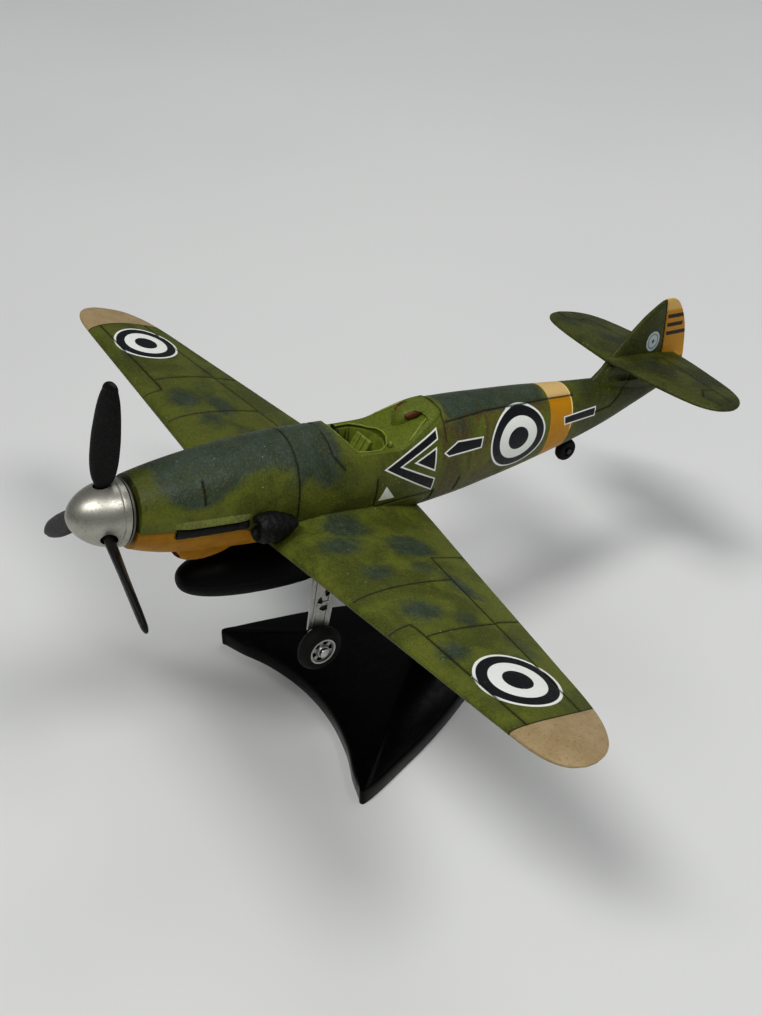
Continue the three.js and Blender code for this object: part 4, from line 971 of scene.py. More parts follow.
WING_BLOTS_STARBOARD = [
    (12.5, 30.5, 2.8, 2.0, 0.85), (17.0, 33.5, 2.6, 1.8, 0.5), (21.5, 30.5, 2.0, 2.2, 0.7),
    (27.0, 29.0, 2.4, 2.0, 0.9), (24.5, 33.5, 3.4, 1.8, 0.8), (31.0, 33.0, 2.0, 1.6, 0.45),
    (36.0, 36.0, 3.0, 1.3, 0.4), (9.0, 39.0, 2.4, 2.6, 0.6), (41.0, 26.6, 2.0, 1.2, 0.5)]
TAIL_BLOTS_PORT = [
    (5.5, 88.5, 3.2, 2.4, 0.85), (10.5, 92.5, 2.6, 1.8, 0.6), (15.0, 88.0, 2.2, 1.6, 0.5)]
TAIL_BLOTS_STARBOARD = [
    (6.0, 89.0, 2.8, 2.2, 0.8), (12.5, 86.8, 2.4, 1.6, 0.7), (15.5, 90.5, 2.0, 1.5, 0.5)]


def blots(u, v, table, scale=1.0):
    out = np.zeros(len(u))
    for centre_u, centre_v, radius_u, radius_v, strength in table:
        reach = ((u - centre_u) / (radius_u * scale)) ** 2 + (
            (v - centre_v) / (radius_v * scale)) ** 2
        out = np.maximum(out, strength * np.exp(-reach))
    return out


def fuselage_masks(places):
    x, y, z = places.T
    # the cowling's upper half is mostly blue-grey, with a green patch on each shoulder
    cowl = (smooth(1.9, 4.9, z - 0.035 * (y - 20) + 0.9 * np.sin(y * 0.55))
            * smooth(8.0, 12.0, y) * smooth(35.8, 31.8, y) * 1.1)
    port = np.exp(-(((y - 23.4) / 3.6) ** 2 + ((z - 4.1) / 1.9) ** 2)) * (x > 0)
    starboard = np.exp(-(((y - 19.0) / 3.6) ** 2 + ((z - 4.4) / 1.9) ** 2)) * (x < 0)
    blue = cowl * (1 - 1.15 * np.clip(port + starboard, 0, 1))
    spine = 0.9 * smooth(7.2, 8.4, z) * smooth(50.5, 51.5, y) * smooth(71, 68, y)
    blue = np.maximum(np.maximum(blue, spine), blots(y, z, FUSELAGE_BLOTS))
    brown = smooth(48.8, 50.2, y) * smooth(71.5, 68, y) * 0.56 * smooth(8.6, 7.9, z)
    cut_z = table_at(DECK, y)[:, 1]
    deck = ((y > 36.3) & (y < 50.33) & (z > cut_z - 0.07)).astype(float)
    deck = np.where((y > 50.33) & (y < 50.45) & (z > 5.5), 0.4, deck)
    return {"blue": blue * (1 - deck), "brown": brown * (1 - deck), "deck": deck}


def wing_masks(places):
    out, y = mirrored_plan(places).T
    return {"blue": np.where(places[:, 0] > 0, blots(out, y, WING_BLOTS_PORT, 1.25),
                             blots(out, y, WING_BLOTS_STARBOARD, 1.3))}


def tail_masks(places):
    out, y = mirrored_plan(places).T
    return {"blue": np.where(places[:, 0] > 0, blots(out, y, TAIL_BLOTS_PORT),
                             blots(out, y, TAIL_BLOTS_STARBOARD))}


def no_blue(places):
    return {"blue": np.zeros(len(places))}


# ------------------------------------------------------------------ skins
def stations(low, high, step, marks):
    """Even stations, closer together round the marks."""
    near = (0.26, 0.17, 0.11, 0.055, 0.0)
    values = list(np.arange(low, high, step)) + [high]
    extra = []
    for mark in marks:
        values = [v for v in values if abs(v - mark) > 0.3 or v in (low, high)]
        extra += [mark + s * f for f in near for s in (1, -1)]
    values += [v for v in extra if low < v < high]
    return np.array(sorted(set(round(v, 5) for v in values)))


def fuselage_skin(start, end, step, around, grow=0.0, marks=()):
    """The fuselage's outer shape between two stations, grown outwards."""
    y = stations(start, end, step, marks) if marks else np.append(np.arange(start, end, step), end)
    width, centre, top, bottom, roundness = table_at(FUSELAGE, y).T
    turn = angles(around, 0.5)
    c, s = np.cos(turn), np.sin(turn)
    exponent = (2 / roundness)[:, None]
    x = (width + grow)[:, None] * signed_power(c[None], exponent)
    height = np.where(s[None] >= 0, (top - centre)[:, None], (centre - bottom)[:, None]) + grow
    z = centre[:, None] + height * signed_power(s[None], exponent)
    rings = np.stack([x, np.repeat(y[:, None], around, 1), z], -1)
    return loft(rings, (0, y[0], centre[0]), (0, y[-1], centre[-1]))


def wing_hinge(x):
    return 43.24 - 0.189 * np.abs(x)


def wing_section(x, share, side, grow=0.0, fillet=False):
    """y and z of the wing's upper (+1) or lower (-1) surface at x and a share of the chord."""
    out = np.abs(x)
    leading, trailing = table_at(WING, out).T
    chord = trailing - leading
    half = aerofoil(share) * WING_THICKNESS * chord + 0.06 * np.minimum(1, chord / 8) + grow
    y = leading - grow + share * (chord + 2 * grow)
    chord_z = WING_Z + DIHEDRAL * out - INCIDENCE * (y - WING[0, 1])
    z = chord_z + 0.018 * 4 * share * (1 - share) * chord + side * half
    if fillet and side > 0:
        z = z + 1.25 * (np.exp(-np.clip(out - 5.3, 0, 99) / 0.95)
                        * np.sin(np.pi * np.clip(share, 0, 1)) ** 0.6)
    return y, z


def wing_under(x, y):
    """Height of the wing's lower surface."""
    leading, trailing = table_at(WING, abs(x))[0]
    share = np.array([(y - leading) / (trailing - leading)])
    return wing_section(np.array([x]), share, -1.0)[1][0]


def wing_skin(fine=True, grow=0.0):
    """The wing, tip to tip. The coarse one has no root fillet and serves as a cutter."""
    if fine:
        x = (list(np.arange(0, 46, 0.3)) + list(np.arange(46, 56, 0.2))
             + [56.0, 56.15, 56.3, 56.45, 56.6, 56.7, 56.8, 56.88, 56.95, 57.0, 57.04, 57.07])
        for mark in (17.6, 23.0, 30.2, 33.1):  # closer together at the engraved lines
            x = [v for v in x if abs(v - mark) > 0.28]
            x += [mark + s for s in (-0.27, -0.19, -0.12, -0.06, 0, 0.06, 0.12, 0.19, 0.27)]
        nose_count, middle_count, flap_count = 18, 44, 16
    else:
        x = [0, 3, 6, 10, 15, 22.7, 33, 42, 47, 50, 52.5, 54.5, 56, 56.8]
        nose_count, middle_count, flap_count = 10, 14, 6
    x = sorted(set(round(float(v), 4) for v in x if v < WING_HALF_SPAN)) + [WING_HALF_SPAN]
    x = np.array([-v for v in x[:0:-1]] + x)
    leading, trailing = table_at(WING, np.abs(x)).T
    chord = trailing - leading
    hinges = np.clip((wing_hinge(x) - leading) / chord, 0.6, 0.86)
    margins = np.minimum(0.27 / chord, 0.09)
    nose_steps = 1 - np.cos(np.linspace(0, 1, nose_count) * np.pi / 2)
    cluster = np.array([-1, -0.62, -0.36, -0.18, 0, 0.18, 0.36, 0.62, 1.0])
    shares = []  # from the leading edge to the trailing edge, one row per station
    for hinge, margin in zip(hinges, margins):
        shares.append(np.concatenate([
            (nose_steps * (SLAT_SHARE - margin))[:-1],
            SLAT_SHARE + cluster * margin,
            np.linspace(SLAT_SHARE + margin, hinge - margin, middle_count)[1:-1],
            hinge + cluster * margin,
            np.linspace(hinge + margin, 1.0, flap_count)[1:]]))
    shares = np.array(shares)
    across = np.repeat(x[:, None], shares.shape[1], 1)
    upper, lower = (
        np.stack([across] + [v.reshape(shares.shape) for v in
                             wing_section(across.ravel(), shares.ravel(), side, grow, fine)], -1)
        for side in (1.0, -1.0))
    # one loop: leading edge, top to the trailing edge, bottom back to the leading edge
    nose = (upper[:, :1] + lower[:, :1]) / 2
    rings = np.concatenate([nose, upper[:, 1:], lower[:, :0:-1]], 1)
    centre = rings.mean(1)
    middle = shares.shape[1] // 2
    centre[:, 2] = (upper[:, middle, 2] + lower[:, middle, 2]) / 2
    return loft(rings, centre[0], centre[-1])


def flat_skin(table, span, thickness, edge, place, count, grow=0.0, fillet=None):
    """A symmetric aerofoil body over a plan table: place(span, y, height) gives the point."""
    leading, trailing = table_at(table, np.abs(span)).T
    chord = trailing - leading
    share = np.repeat(((1 - np.cos(np.linspace(0, 1, count) * np.pi)) / 2)[None], len(span), 0)
    y = leading[:, None] - grow + share * (chord[:, None] + 2 * grow)
    height = aerofoil(share) * thickness * np.minimum(chord, 15)[:, None] + edge + grow
    if fillet is not None:
        height = height + fillet(span)[:, None] * np.sin(np.pi * share) ** 0.7
    upper = place(span[:, None] + 0 * y, y, height)
    lower = place(span[:, None] + 0 * y, y, -height)
    nose = (upper[:, :1] + lower[:, :1]) / 2
    rear = (upper[:, -1:] + lower[:, -1:]) / 2
    return loft(np.concatenate([nose, upper[:, 1:-1], rear, lower[:, -2:0:-1]], 1))


def chin_outline(grow):
    """The chin cowl's region seen from the side: y, z."""
    return [(7.1 - grow, -0.3 + grow), (11.3 + grow, -0.3 + grow), (11.3 + grow, -1.3 + grow),
            (15.5, -1.25 + grow), (20.0, -1.2 + grow), (21.4 + grow, -2.0 + grow),
            (22.8 + grow, -4.0 + grow), (23.3 + grow, -7.5), (21, -11), (7.1 - grow, -11)]


def belly_outline(grow):
    """The belly insert's region seen from the side: y, z."""
    (first_y, first_z), *middle, (last_y, last_z) = SEAM
    return ([(first_y - grow, first_z + grow)] + [(y, z + grow) for y, z in middle]
            + [(last_y + grow, last_z + grow), (last_y + grow, -12), (first_y - grow, -12)])


def scoop(grow=0.0, around=64):
    """The scoop under the chin cowl."""
    t = np.linspace(0, 1, 40)
    keys = np.linspace(0, 1, 9)
    drop = np.interp(t, keys, [1.0, 1.25, 1.35, 1.32, 1.2, 1.0, 0.75, 0.4, 0.0])
    width = np.interp(t, keys, [2.5, 2.9, 3.1, 3.15, 3.1, 3.0, 2.8, 2.5, 2.1])
    y, centre_z = 13.8 + 8.6 * t, -4.6
    turn = angles(around, 0.5)
    c, s = np.cos(turn), np.sin(turn)
    x = (width + grow)[:, None] * signed_power(c, 0.6)[None]
    height = np.where(s[None] > 0, 0.9, (1.15 + drop)[:, None])
    z = centre_z + height * signed_power(s, 0.6)[None]
    rings = np.stack([x, np.repeat(y[:, None], around, 1), z], -1)
    return loft(rings, (0, y[0], centre_z), (0, y[-1], centre_z))


def exhaust_body(side, grow=0.0, stubs=True):
    """A row of six exhaust stubs following the flank; without stubs it is their pocket."""
    start, end = 11.5, 20.6
    y = np.linspace(start - grow, end + grow, 90)
    top = -0.17 + 0.01 * (y - start) + grow
    bottom = -1.42 + 0.03 * (y - start) - grow
    width, centre, _, keel, roundness = table_at(FUSELAGE, y).T
    phase = ((y - start) / 9.1) * 6
    stub = 0.16 * np.abs(np.sin(np.pi * phase)) ** 0.5 if stubs else np.full_like(y, 0.12)
    out = 0.3 + stub + grow

    def flank(z):
        u = np.clip((centre - z) / (centre - keel), 0, 0.99)
        return width * (1 - u**roundness) ** (1 / roundness)

    corners = []
    for share in np.linspace(-1, 1, 9):
        z = (top + bottom) / 2 + (top - bottom) / 2 * np.sin(share * np.pi / 2)
        bulge = np.cos(share * np.pi / 2) ** 0.5 * 0.999
        corners.append((flank(z) + out * bulge + 0.001, z))
    corners += [(flank(z) - 0.9 - grow, z) for z in (top, bottom)]
    return strip(side, y, corners)


def ledge(side):
    """The shelf over the exhausts."""
    t = np.linspace(0, 1, 70)
    y = 11.2 + 9.9 * t
    end = np.sqrt(np.minimum(1, np.minimum(t, 1 - t) * 6))
    width = table_at(FUSELAGE, y)[:, 0]
    taper = 0.12 * (1 - end)
    low, top = 0.02 + 0.01 * (y - 11), 0.95
    return strip(side, y, [
        (width + 0.47 * end - taper, low + 0.03), (width + 0.5 * end - taper, low + 0.16),
        (width + 0.34 * end - taper, low + 0.42), (width - 0.12, top), (width - 1.2, top),
        (width - 1.2, low)])


# ------------------------------------------------------------------ cockpit deck
def sill_width(y, z):
    """Half width of the fuselage at a height above its widest line."""
    width, centre, top, _, roundness = table_at(FUSELAGE, y).T
    share = np.clip((z - centre) / (top - centre), 0, 0.999)
    return width * (1 - share**roundness) ** (1 / roundness)


def deck_height(x, y):
    """The cut-away top's height at (x, y): windscreen slope, sills and deck."""
    top, cut_z = table_at(DECK, y).T
    c = np.clip(np.abs(x) / sill_width(y, cut_z), 0, 1) ** (1 / 0.8)
    z = np.maximum(cut_z, cut_z + (top - cut_z) * np.sqrt(1 - c * c) ** 0.9)
    return np.where(y < SCREEN_END_Y, SCREEN_Z - (y - SCREEN_Y) * SCREEN_SLOPE, z)


def rear_deck():
    y = np.linspace(40.6, 50.35, 80)
    top, cut_z = table_at(DECK, y).T
    half = sill_width(y, cut_z) * 0.997
    turn = angles(120)
    s = np.sin(turn)[None]
    x = half[:, None] * signed_power(np.cos(turn), 0.8)[None]
    rise = np.maximum(top - cut_z, 0.02)[:, None]
    z = cut_z[:, None] + np.where(s >= 0, rise * np.abs(s) ** 0.9, -1.6 * np.abs(s))
    z = np.where((s >= 0) & (top < cut_z)[:, None], cut_z[:, None] - 0.3, z)
    rings = np.stack([x, np.repeat(y[:, None], 120, 1), z], -1)
    return loft(rings, (0, y[0], 4.3), (0, y[-1], 8.0))


def head_armour():
    """The raised hump on the deck behind the pilot's head."""
    turn = angles(48)
    c, s = np.cos(turn), np.sin(turn)
    rings = []
    # y, half width, top z
    for y, width, top in ((44.6, 0.25, 6.7), (45.1, 0.8, 7.9), (45.7, 1.15, 8.5),
                          (46.6, 1.4, 8.85), (47.8, 1.6, 9.05), (49.2, 1.75, 9.15),
                          (50.2, 1.8, 9.2)):
        base = top - 1.2
        z = np.where(s > 0, base + 1.2 * np.abs(s) ** 0.8, base - 1.3 * np.abs(s))
        rings.append(np.stack([width * signed_power(c, 0.7), np.full(48, y), z], -1))
    return loft(rings)


def lens(side, x0, x1, scale):
    """A pointed oval standing on the armour's side."""
    turn = angles(48)
    c, s = np.cos(turn), np.sin(turn)
    return loft([np.stack([np.full(48, side * x),
                           46.75 + 1.25 * scale * signed_power(c, 1.25),
                           8.1 + 0.08 * c + 0.5 * scale * s], -1)
                 for x in (x0, (x0 + x1) / 2, x1)])


# ------------------------------------------------------------------ fuselage
def fin():
    z = np.unique(np.concatenate([np.linspace(7.2, 18, 70), np.linspace(18, 20.45, 40)]))
    piece = flat_skin(FIN, z, thickness=0.1, edge=0.08, count=80,
                      place=lambda span, y, height: np.stack([height, y, span], -1),
                      fillet=lambda span: 0.9 * np.exp(-np.clip(span - 8.6, 0, 99) / 0.8))
    engrave(piece, lines_distance(vertex_data(piece)[:, 1:], FIN_LINES), 0.12, 0.13)
    return piece


def root_fairing():
    """The swelling between the fuselage and the tailplane."""
    turn = angles(40)
    c, s = np.cos(turn), np.sin(turn)
    start, length = 81.4, 14.6
    rings = []
    for y in np.linspace(start, 96.0, 40):
        t = (y - start) / length
        width = 0.5 + 1.7 * math.sin(math.pi * t) ** 0.8
        top = TAIL_Z + 0.3 * math.sin(math.pi * t) - 2.2 * (1 - smooth(start, 84.2, y))
        low = 6.2 + 0.1 * (y - start)
        x = signed_power(c, 0.6) * (0.5 + (width - 0.5) * ((s + 1) / 2) ** 1.5)
        rings.append(np.stack([x, np.full(40, y), (top + low) / 2 + (top - low) / 2 * s], -1))
    return loft(rings)


def stem_slot(top):
    return box(-SLOT_HALF_WIDTH, SLOT_HALF_WIDTH, STEM_Y - SLOT_HALF_LENGTH,
               STEM_Y + SLOT_HALF_LENGTH, -9, top)


def fuselage_shell():
    shell = fuselage_skin(6.9, 98.2, 0.24, 220, marks=(15.0, 27.5, 39.3, 49.4, 53.6))
    places = vertex_data(shell)
    distance = lines_distance(places[:, 1:], SIDE_LINES)
    belly_ring = np.abs(places[:, 1] - 27.5) + 9 * (places[:, 2] < -2.6)
    engrave(shell, np.minimum(distance, belly_ring), 0.13, 0.12)
    join(shell, ledge(1), ledge(-1))
    canopy = [(33.4, 12), (SCREEN_Y, SCREEN_Z), (SCREEN_END_Y, SILL)]
    canopy += [(y, float(table_at(DECK, y)[0, 1])) for y in np.linspace(42.2, 50.3, 20)]
    cut(shell, plate_yz(canopy + [(50.3, 12)], -9, 9))
    join(shell, rear_deck())
    join(shell, head_armour())
    join(shell, fin())
    join(shell, root_fairing())

    # the cockpit's well, the headrest's openings and the pockets that take the other pieces
    cut(shell, stacked(OPENING, [(0.1, 0.0), (12.0, 0.0)]))
    cut(shell, lens(1, 1.05, 3.0, 1.12), lens(-1, 1.05, 3.0, 1.12))
    chin = fuselage_skin(7.0, 24.2, 0.8, 64, grow=0.5)
    join(chin, scoop(0.05))
    trim(chin, plate_yz(chin_outline(FIT), -9, 9))
    cut(shell, chin, plate_yz(belly_outline(FIT), -9, 9))
    cut(shell, wing_skin(fine=False, grow=0.04))
    tail = flat_skin(TAIL, np.linspace(-6, 6, 9), TAIL_THICKNESS, TAIL_EDGE, count=24, grow=0.03,
                     place=lambda span, y, height: np.stack([span, y, TAIL_Z + height], -1))
    cut(shell, tail, exhaust_body(1, 0.06, False), exhaust_body(-1, 0.06, False))
    bushing_hole = turned([(0, -1.5), (1.3, -1.5), (1.3, 6.4), (0, 6.4)], 48)
    nose_face = turned([(0, -3), (6, -3), (6, -0.75), (0, -0.75)], 64)
    cut(shell, moved(bushing_hole, THRUST_IN_PLANE), moved(nose_face, THRUST_IN_PLANE))
    keep_largest(shell)
    finish(shell, "fuselage_skin", CAMO_FUSELAGE, "fuselage_shell", 30,
           masks=fuselage_masks)


def chin_cowl():
    chin = fuselage_skin(7.1, 24, 0.3, 200)
    trim(chin, plate_yz(chin_outline(0), -9, 9))
    under = scoop(around=96)
    trim(under, plate_yz(chin_outline(0), -9, 9))
    join(chin, under)
    mouth = box(-2.3, 2.3, 12.6, 15.2, -6.8, -5.8, bevel=0.15)
    cut(chin, mouth, fuselage_skin(6, 26, 1.0, 64, grow=-1.4))
    keep_largest(chin)
    bevelled(chin, 0.05, 2, 40)
    finish(chin, "chin_cowl_skin", CHIN_YELLOW, "chin_cowl", 30)


def exhausts():
    for tag, side in SIDES:
        finish(exhaust_body(side), "exhaust_strip_" + tag, SATIN_BLACK,
               "exhaust_" + tag, 40)


def belly_insert():
    belly = fuselage_skin(23.5, 78, 0.3, 200, marks=(62.0, 70.5))
    y = vertex_data(belly)[:, 1]
    engrave(belly, np.minimum(np.abs(y - 62.0), np.abs(y - 53.6)), 0.1, 0.12)
    trim(belly, plate_yz(belly_outline(0), -9, 9))
    cut(belly, wing_skin(fine=False, grow=0.04), stem_slot(-2.5),
        bar((0, BELLY_SCREW_Y, -9), (0, BELLY_SCREW_Y, -3.9), 1.35),
        bar((0, BELLY_SCREW_Y, -9), (0, BELLY_SCREW_Y, 2), 0.65))
    keep_largest(belly)
    bevelled(belly, 0.06, 2, 50)
    finish(belly, "belly_insert", CAMO_INSERT, "belly_pan", 30,
           masks=fuselage_masks)


def screw(y, top, bottom, shank_end, head_radius, shank_radius=0.5):
    """A cross-head screw along z, standing at y, with the head's face at the bottom."""
    r = head_radius
    piece = turned([(0, bottom), (r * 0.55, bottom), (r * 0.92, bottom + 0.1),
                    (r, bottom + 0.28), (r, top), (shank_radius, top),
                    (shank_radius, shank_end), (0, shank_end)], 64, "z", radius=0.04)
    for angle in (12, 102):
        slot = box(-r * 0.68, r * 0.68, -0.17, 0.17, bottom - 1, bottom + 0.28)
        cut(piece, moved(slot, Matrix.Rotation(math.radians(angle), 4, "Z")))
    return moved(piece, Matrix.Translation((0, y, 0)))


def belly_screw():
    piece = screw(BELLY_SCREW_Y, top=-3.95, bottom=-4.6, shank_end=-1.6, head_radius=1.2)
    finish(piece, "belly_screw_visual", BRIGHT_STEEL, "belly_screw")


# ------------------------------------------------------------------ wing and tailplane
def wing():
    piece = wing_skin()
    plan = mirrored_plan(vertex_data(piece))
    upper = (vertex_data(piece, "normal")[:, 2] > 0.2).astype(float)
    at_hinge = (np.abs(plan[:, 1] - wing_hinge(plan[:, 0])) < 0.6) * 0.8
    engrave(piece, lines_distance(plan, WING_LINES), 0.12, 0.12, np.maximum(upper, at_hinge))
    for _, side in SIDES:  # wells for the wheels and legs
        x, y = side * 23.2, 31.4
        z = wing_under(23.2, y)
        cut(piece, bar((x, y, z - 1.5), (x, y, z + 0.75), 3.1, sides=80))
        leg_well = box(-7.75, 7.75, -0.95, 0.95, -1.2, 1.2)
        place = Matrix.Translation((side * 15.2, 31.2, wing_under(14, 30.5) - 0.45))
        slope = Matrix.Rotation(-side * math.atan(DIHEDRAL), 4, "Y")
        cut(piece, moved(leg_well, place @ slope))
    cut(piece, stem_slot(BELLY_Z + 2.9))
    keep_largest(piece)
    finish(piece, "wing_skin", CAMO_WING, "wing", 30, masks=wing_masks)


def radiators():
    start, length, centre_x, half_width = 34.8, 9, 12.8, 3.6
    for tag, side in SIDES:
        across = np.linspace(centre_x - half_width, centre_x + half_width, 16)
        rings = []
        for y in np.linspace(start, start + length, 40):
            t = (y - start) / length
            depth = 1.35 * math.sin(math.pi * min(1, 0.24 + 0.76 * t)) + 0.15
            ring = []
            for x in across:
                fullness = max(0.35, 1 - abs((x - centre_x) / half_width) ** 8)
                ring.append((side * x, y, wing_under(x, y) - 0.06 - depth * fullness))
            ring += [(side * x, y, wing_under(x, y) + 0.25) for x in across[::-1]]
            rings.append(ring)
        piece = loft(rings)
        z = wing_under(centre_x, 35)
        cut(piece, box(*sorted((side * 9.7, side * 15.9)), 34, 35.8, z - 1.05, z - 0.2))
        finish(piece, "radiator_housing_" + tag, CAMO_WING, "radiator_" + tag, 40,
               masks=no_blue)


def tailplane():
    tip = TAIL[-1, 0]
    rounding = tip - (tip - 15) * np.cos(np.linspace(0, np.pi / 2, 26))
    half = np.unique(np.concatenate([np.linspace(0, 15, 50), rounding]))

    def place(span, y, height):
        # the starboard half is slightly shorter
        x = np.where(span < 0, span * (1 - 0.06 * (np.abs(span) / tip) ** 2), span)
        return np.stack([x, y, TAIL_Z + height], -1)

    piece = flat_skin(TAIL, np.concatenate([-half[:0:-1], half]), TAIL_THICKNESS, TAIL_EDGE,
                      place, count=90, fillet=lambda span: 0.35 * np.exp(-np.abs(span) / 1.3))
    plan = mirrored_plan(vertex_data(piece))
    engrave(piece, lines_distance(plan, TAIL_LINES), 0.09, 0.12)
    finish(piece, "tailplane_skin", CAMO_TAIL, "tailplane", 30, masks=tail_masks)


# ------------------------------------------------------------------ intake, tank and rack
# the intake drum: radius, y
INTAKE_PROFILE = np.array([
    (0, 21.9), (0.95, 21.9), (1.05, 21.35), (1.35, 21.15), (1.62, 21.3), (1.8, 21.7),
    (1.9, 22.3), (1.9, 22.9), (1.82, 23.6), (1.62, 24.5), (1.3, 25.4), (0.85, 26.3),
    (0.4, 26.9), (0, 27.05)])


def intake():
    """A lumpy drum on the port side of the cowling."""
    arc = np.concatenate([[0], np.cumsum(np.hypot(*np.diff(INTAKE_PROFILE, axis=0).T))])
    fine = np.linspace(0, arc[-1], 70)
    profile = np.column_stack([np.interp(fine, arc, column) for column in INTAKE_PROFILE.T])
    drum = turned(profile, 110, centre=(6.75, 0, -0.95), radius=0.01)
    x, y, z = vertex_data(drum).T
    lumps = (np.sin(3.1 * x + 1.3) * np.sin(2.7 * y + 0.4) + np.sin(6.3 * y + 2.0 * z) * 0.6
             + np.sin(7.9 * z - 1.1) * np.sin(8.3 * x + 5.1 * y) * 0.5
             + np.sin(13.1 * x + 3.7) * np.sin(11.9 * y) * 0.3)
    push(drum, 0.045 * lumps + 0.05)
    cut(drum, fuselage_skin(19, 29, 0.6, 120, grow=0.02), wing_skin(fine=False, grow=0.03))
    keep_largest(drum)
    finish(drum, "intake_drum", SATIN_BLACK, "supercharger_intake", 40)


def drop_tank():
    radius, centre_y, half_length, centre_z = 3.7, 29.3, 14.2, -11.1
    u = -np.cos(np.linspace(0, np.pi, 90))
    # the forward end is blunter than the aft end
    r = radius * np.abs(np.sin(np.arccos(np.clip(-u, -1, 1)))) ** np.where(u < 0, 0.72, 0.95)
    turn = angles(120)
    seam = 1 + 0.012 * np.exp(-((np.abs(np.cos(turn)) - 1) / 0.004) ** 2)  # along both sides
    rings = [np.stack([ring * np.cos(turn) * seam, np.full(120, centre_y + half_length * share),
                       centre_z + ring * np.sin(turn)], -1)
             for share, ring in zip(u[1:-1], r[1:-1])]
    tank = loft(rings, (0, centre_y - half_length, centre_z), (0, centre_y + half_length, centre_z))
    y = vertex_data(tank)[:, 1]
    engrave(tank, np.minimum(np.abs(y - 25.4), np.abs(y - 33.6)), 0.1, 0.16)
    finish(tank, "drop_tank_body", TANK_BLACK, "drop_tank", 40)


def tank_rack():
    rack = plate_yz([(24.8, -6.0), (39.2, -6.0), (37.5, -8.5), (26.7, -8.5)], -0.85, 0.85, 0.2)
    cut(rack, fuselage_skin(20, 45, 1.0, 90, grow=0.05), wing_skin(fine=False, grow=0.03))
    keep_largest(rack)
    finish(rack, "tank_rack_body", SATIN_BLACK, "tank_rack", 40)


# ------------------------------------------------------------------ cockpit
def cockpit_tub():
    tub = stacked(OPENING, [(0.2, FIT), (4.9, FIT)])
    cut(tub, stacked(OPENING, [(0.7, 0.42), (12.0, 0.42)]))
    bulkhead = plate_yz([(40.9, 0.5), (43.0, 0.5), (43.0, 4.85), (42.7, 4.85)], -2.4, 2.4)
    join(tub, bulkhead, box(2.2, 3.6, 37.2, 40.0, 0.5, 3.2), box(-3.6, -2.5, 37.2, 40.0, 0.5, 3.2))
    for y in (37.4, 38.7, 40.0):  # upright frames on the starboard wall
        join(tub, box(-3.6, -3.22, y - 0.12, y + 0.12, 0.6, 4.6))
    trim(tub, stacked(OPENING, [(0.1, FIT), (5.0, FIT)]))
    finish(tub, "cockpit_lining", COCKPIT_GREEN, "cockpit_tub", 35)


def pilot_seat():
    seat = plate_yz([(38.5, 1.0), (38.9, 0.8), (40.75, 5.0), (40.45, 5.35), (40.1, 5.3),
                     (38.4, 1.6), (36.9, 1.35), (36.9, 0.95)], -1.6, 1.6, 0.12)
    join(seat, box(-1.5, 1.5, 36.9, 38.9, 0.9, 1.45, 0.12))
    strap = [(38.25, 1.5), (38.5, 1.4), (40.25, 5.35), (39.98, 5.42)]
    for x in (-0.75, 0.35):
        join(seat, plate_yz(strap, x, x + 0.42, 0.05))
    finish(seat, "pilot_seat_body", SEAT_GREEN, "pilot_seat", 35)


def instrument_panel():
    panel = box(-2.1, 2.1, 36.0, 36.3, 2.2, 5.3, 0.08)
    # dials: x, z, radius
    for x, z, radius in ((-1.4, 4.3, 0.4), (-0.45, 4.3, 0.4), (0.5, 4.3, 0.4),
                         (1.4, 4.2, 0.28), (-1.1, 3.2, 0.34), (0.0, 3.2, 0.34),
                         (1.1, 3.2, 0.34)):
        cut(panel, bar((x, 36.22, z), (x, 36.6, z), radius, sides=28))
    finish(panel, "instrument_panel_body", PANEL_DARK, "instrument_panel", 35)


def gunsight():
    sight = box(-0.6, 0.75, 34.7, 35.7, 5.2, 7.2, 0.12)
    join(sight, box(-0.42, 0.5, 34.95, 35.2, 7.0, 7.75, 0.06),
         bar((0.05, 35.5, 6.8), (0.05, 35.95, 6.8), 0.26, sides=28))
    finish(sight, "gunsight_body", PANEL_DARK, "gunsight", 35)


def headrests():
    for name, side, node in (("headrest_pad", 1, "headrest"),
                             ("headrest_pad_starboard", -1, None)):
        pad = bevelled(lens(side, 0.9, 1.42, 0.95), 0.12, 3, 50)
        finish(pad, name, HEADREST_BROWN, node, 50)


def eased(values):
    """A closed loop of values with its kinks softened."""
    return (np.roll(values, 1, 0) + 2 * values + np.roll(values, -1, 0)) / 4


def cockpit_coaming():
    """The thin raised rim round the opening."""
    loop = []
    for (x0, y0), (x1, y1) in zip(OPENING, np.roll(OPENING, -1, 0)):
        for t in np.linspace(0, 1, 12, endpoint=False):
            loop.append((x0 + (x1 - x0) * t, y0 + (y1 - y0) * t))
    loop = eased(eased(eased(np.array(loop))))
    height = eased(eased(deck_height(loop[:, 0], loop[:, 1]) + 0.01))
    path = np.column_stack([loop, height])
    along = np.roll(path, -1, 0) - np.roll(path, 1, 0)
    along /= np.linalg.norm(along, axis=1)[:, None]
    across = np.cross(along, np.array([0, 0, 1.0]))
    across /= np.linalg.norm(across, axis=1)[:, None]
    up = np.cross(across, along)
    turn = angles(14)[None, :, None]
    section = np.cos(turn) * across[:, None] + np.sin(turn) * up[:, None]
    rim = ring_solid(path[:, None] + 0.14 * section)
    finish(rim, "cockpit_coaming", COCKPIT_GREEN, angle=70)


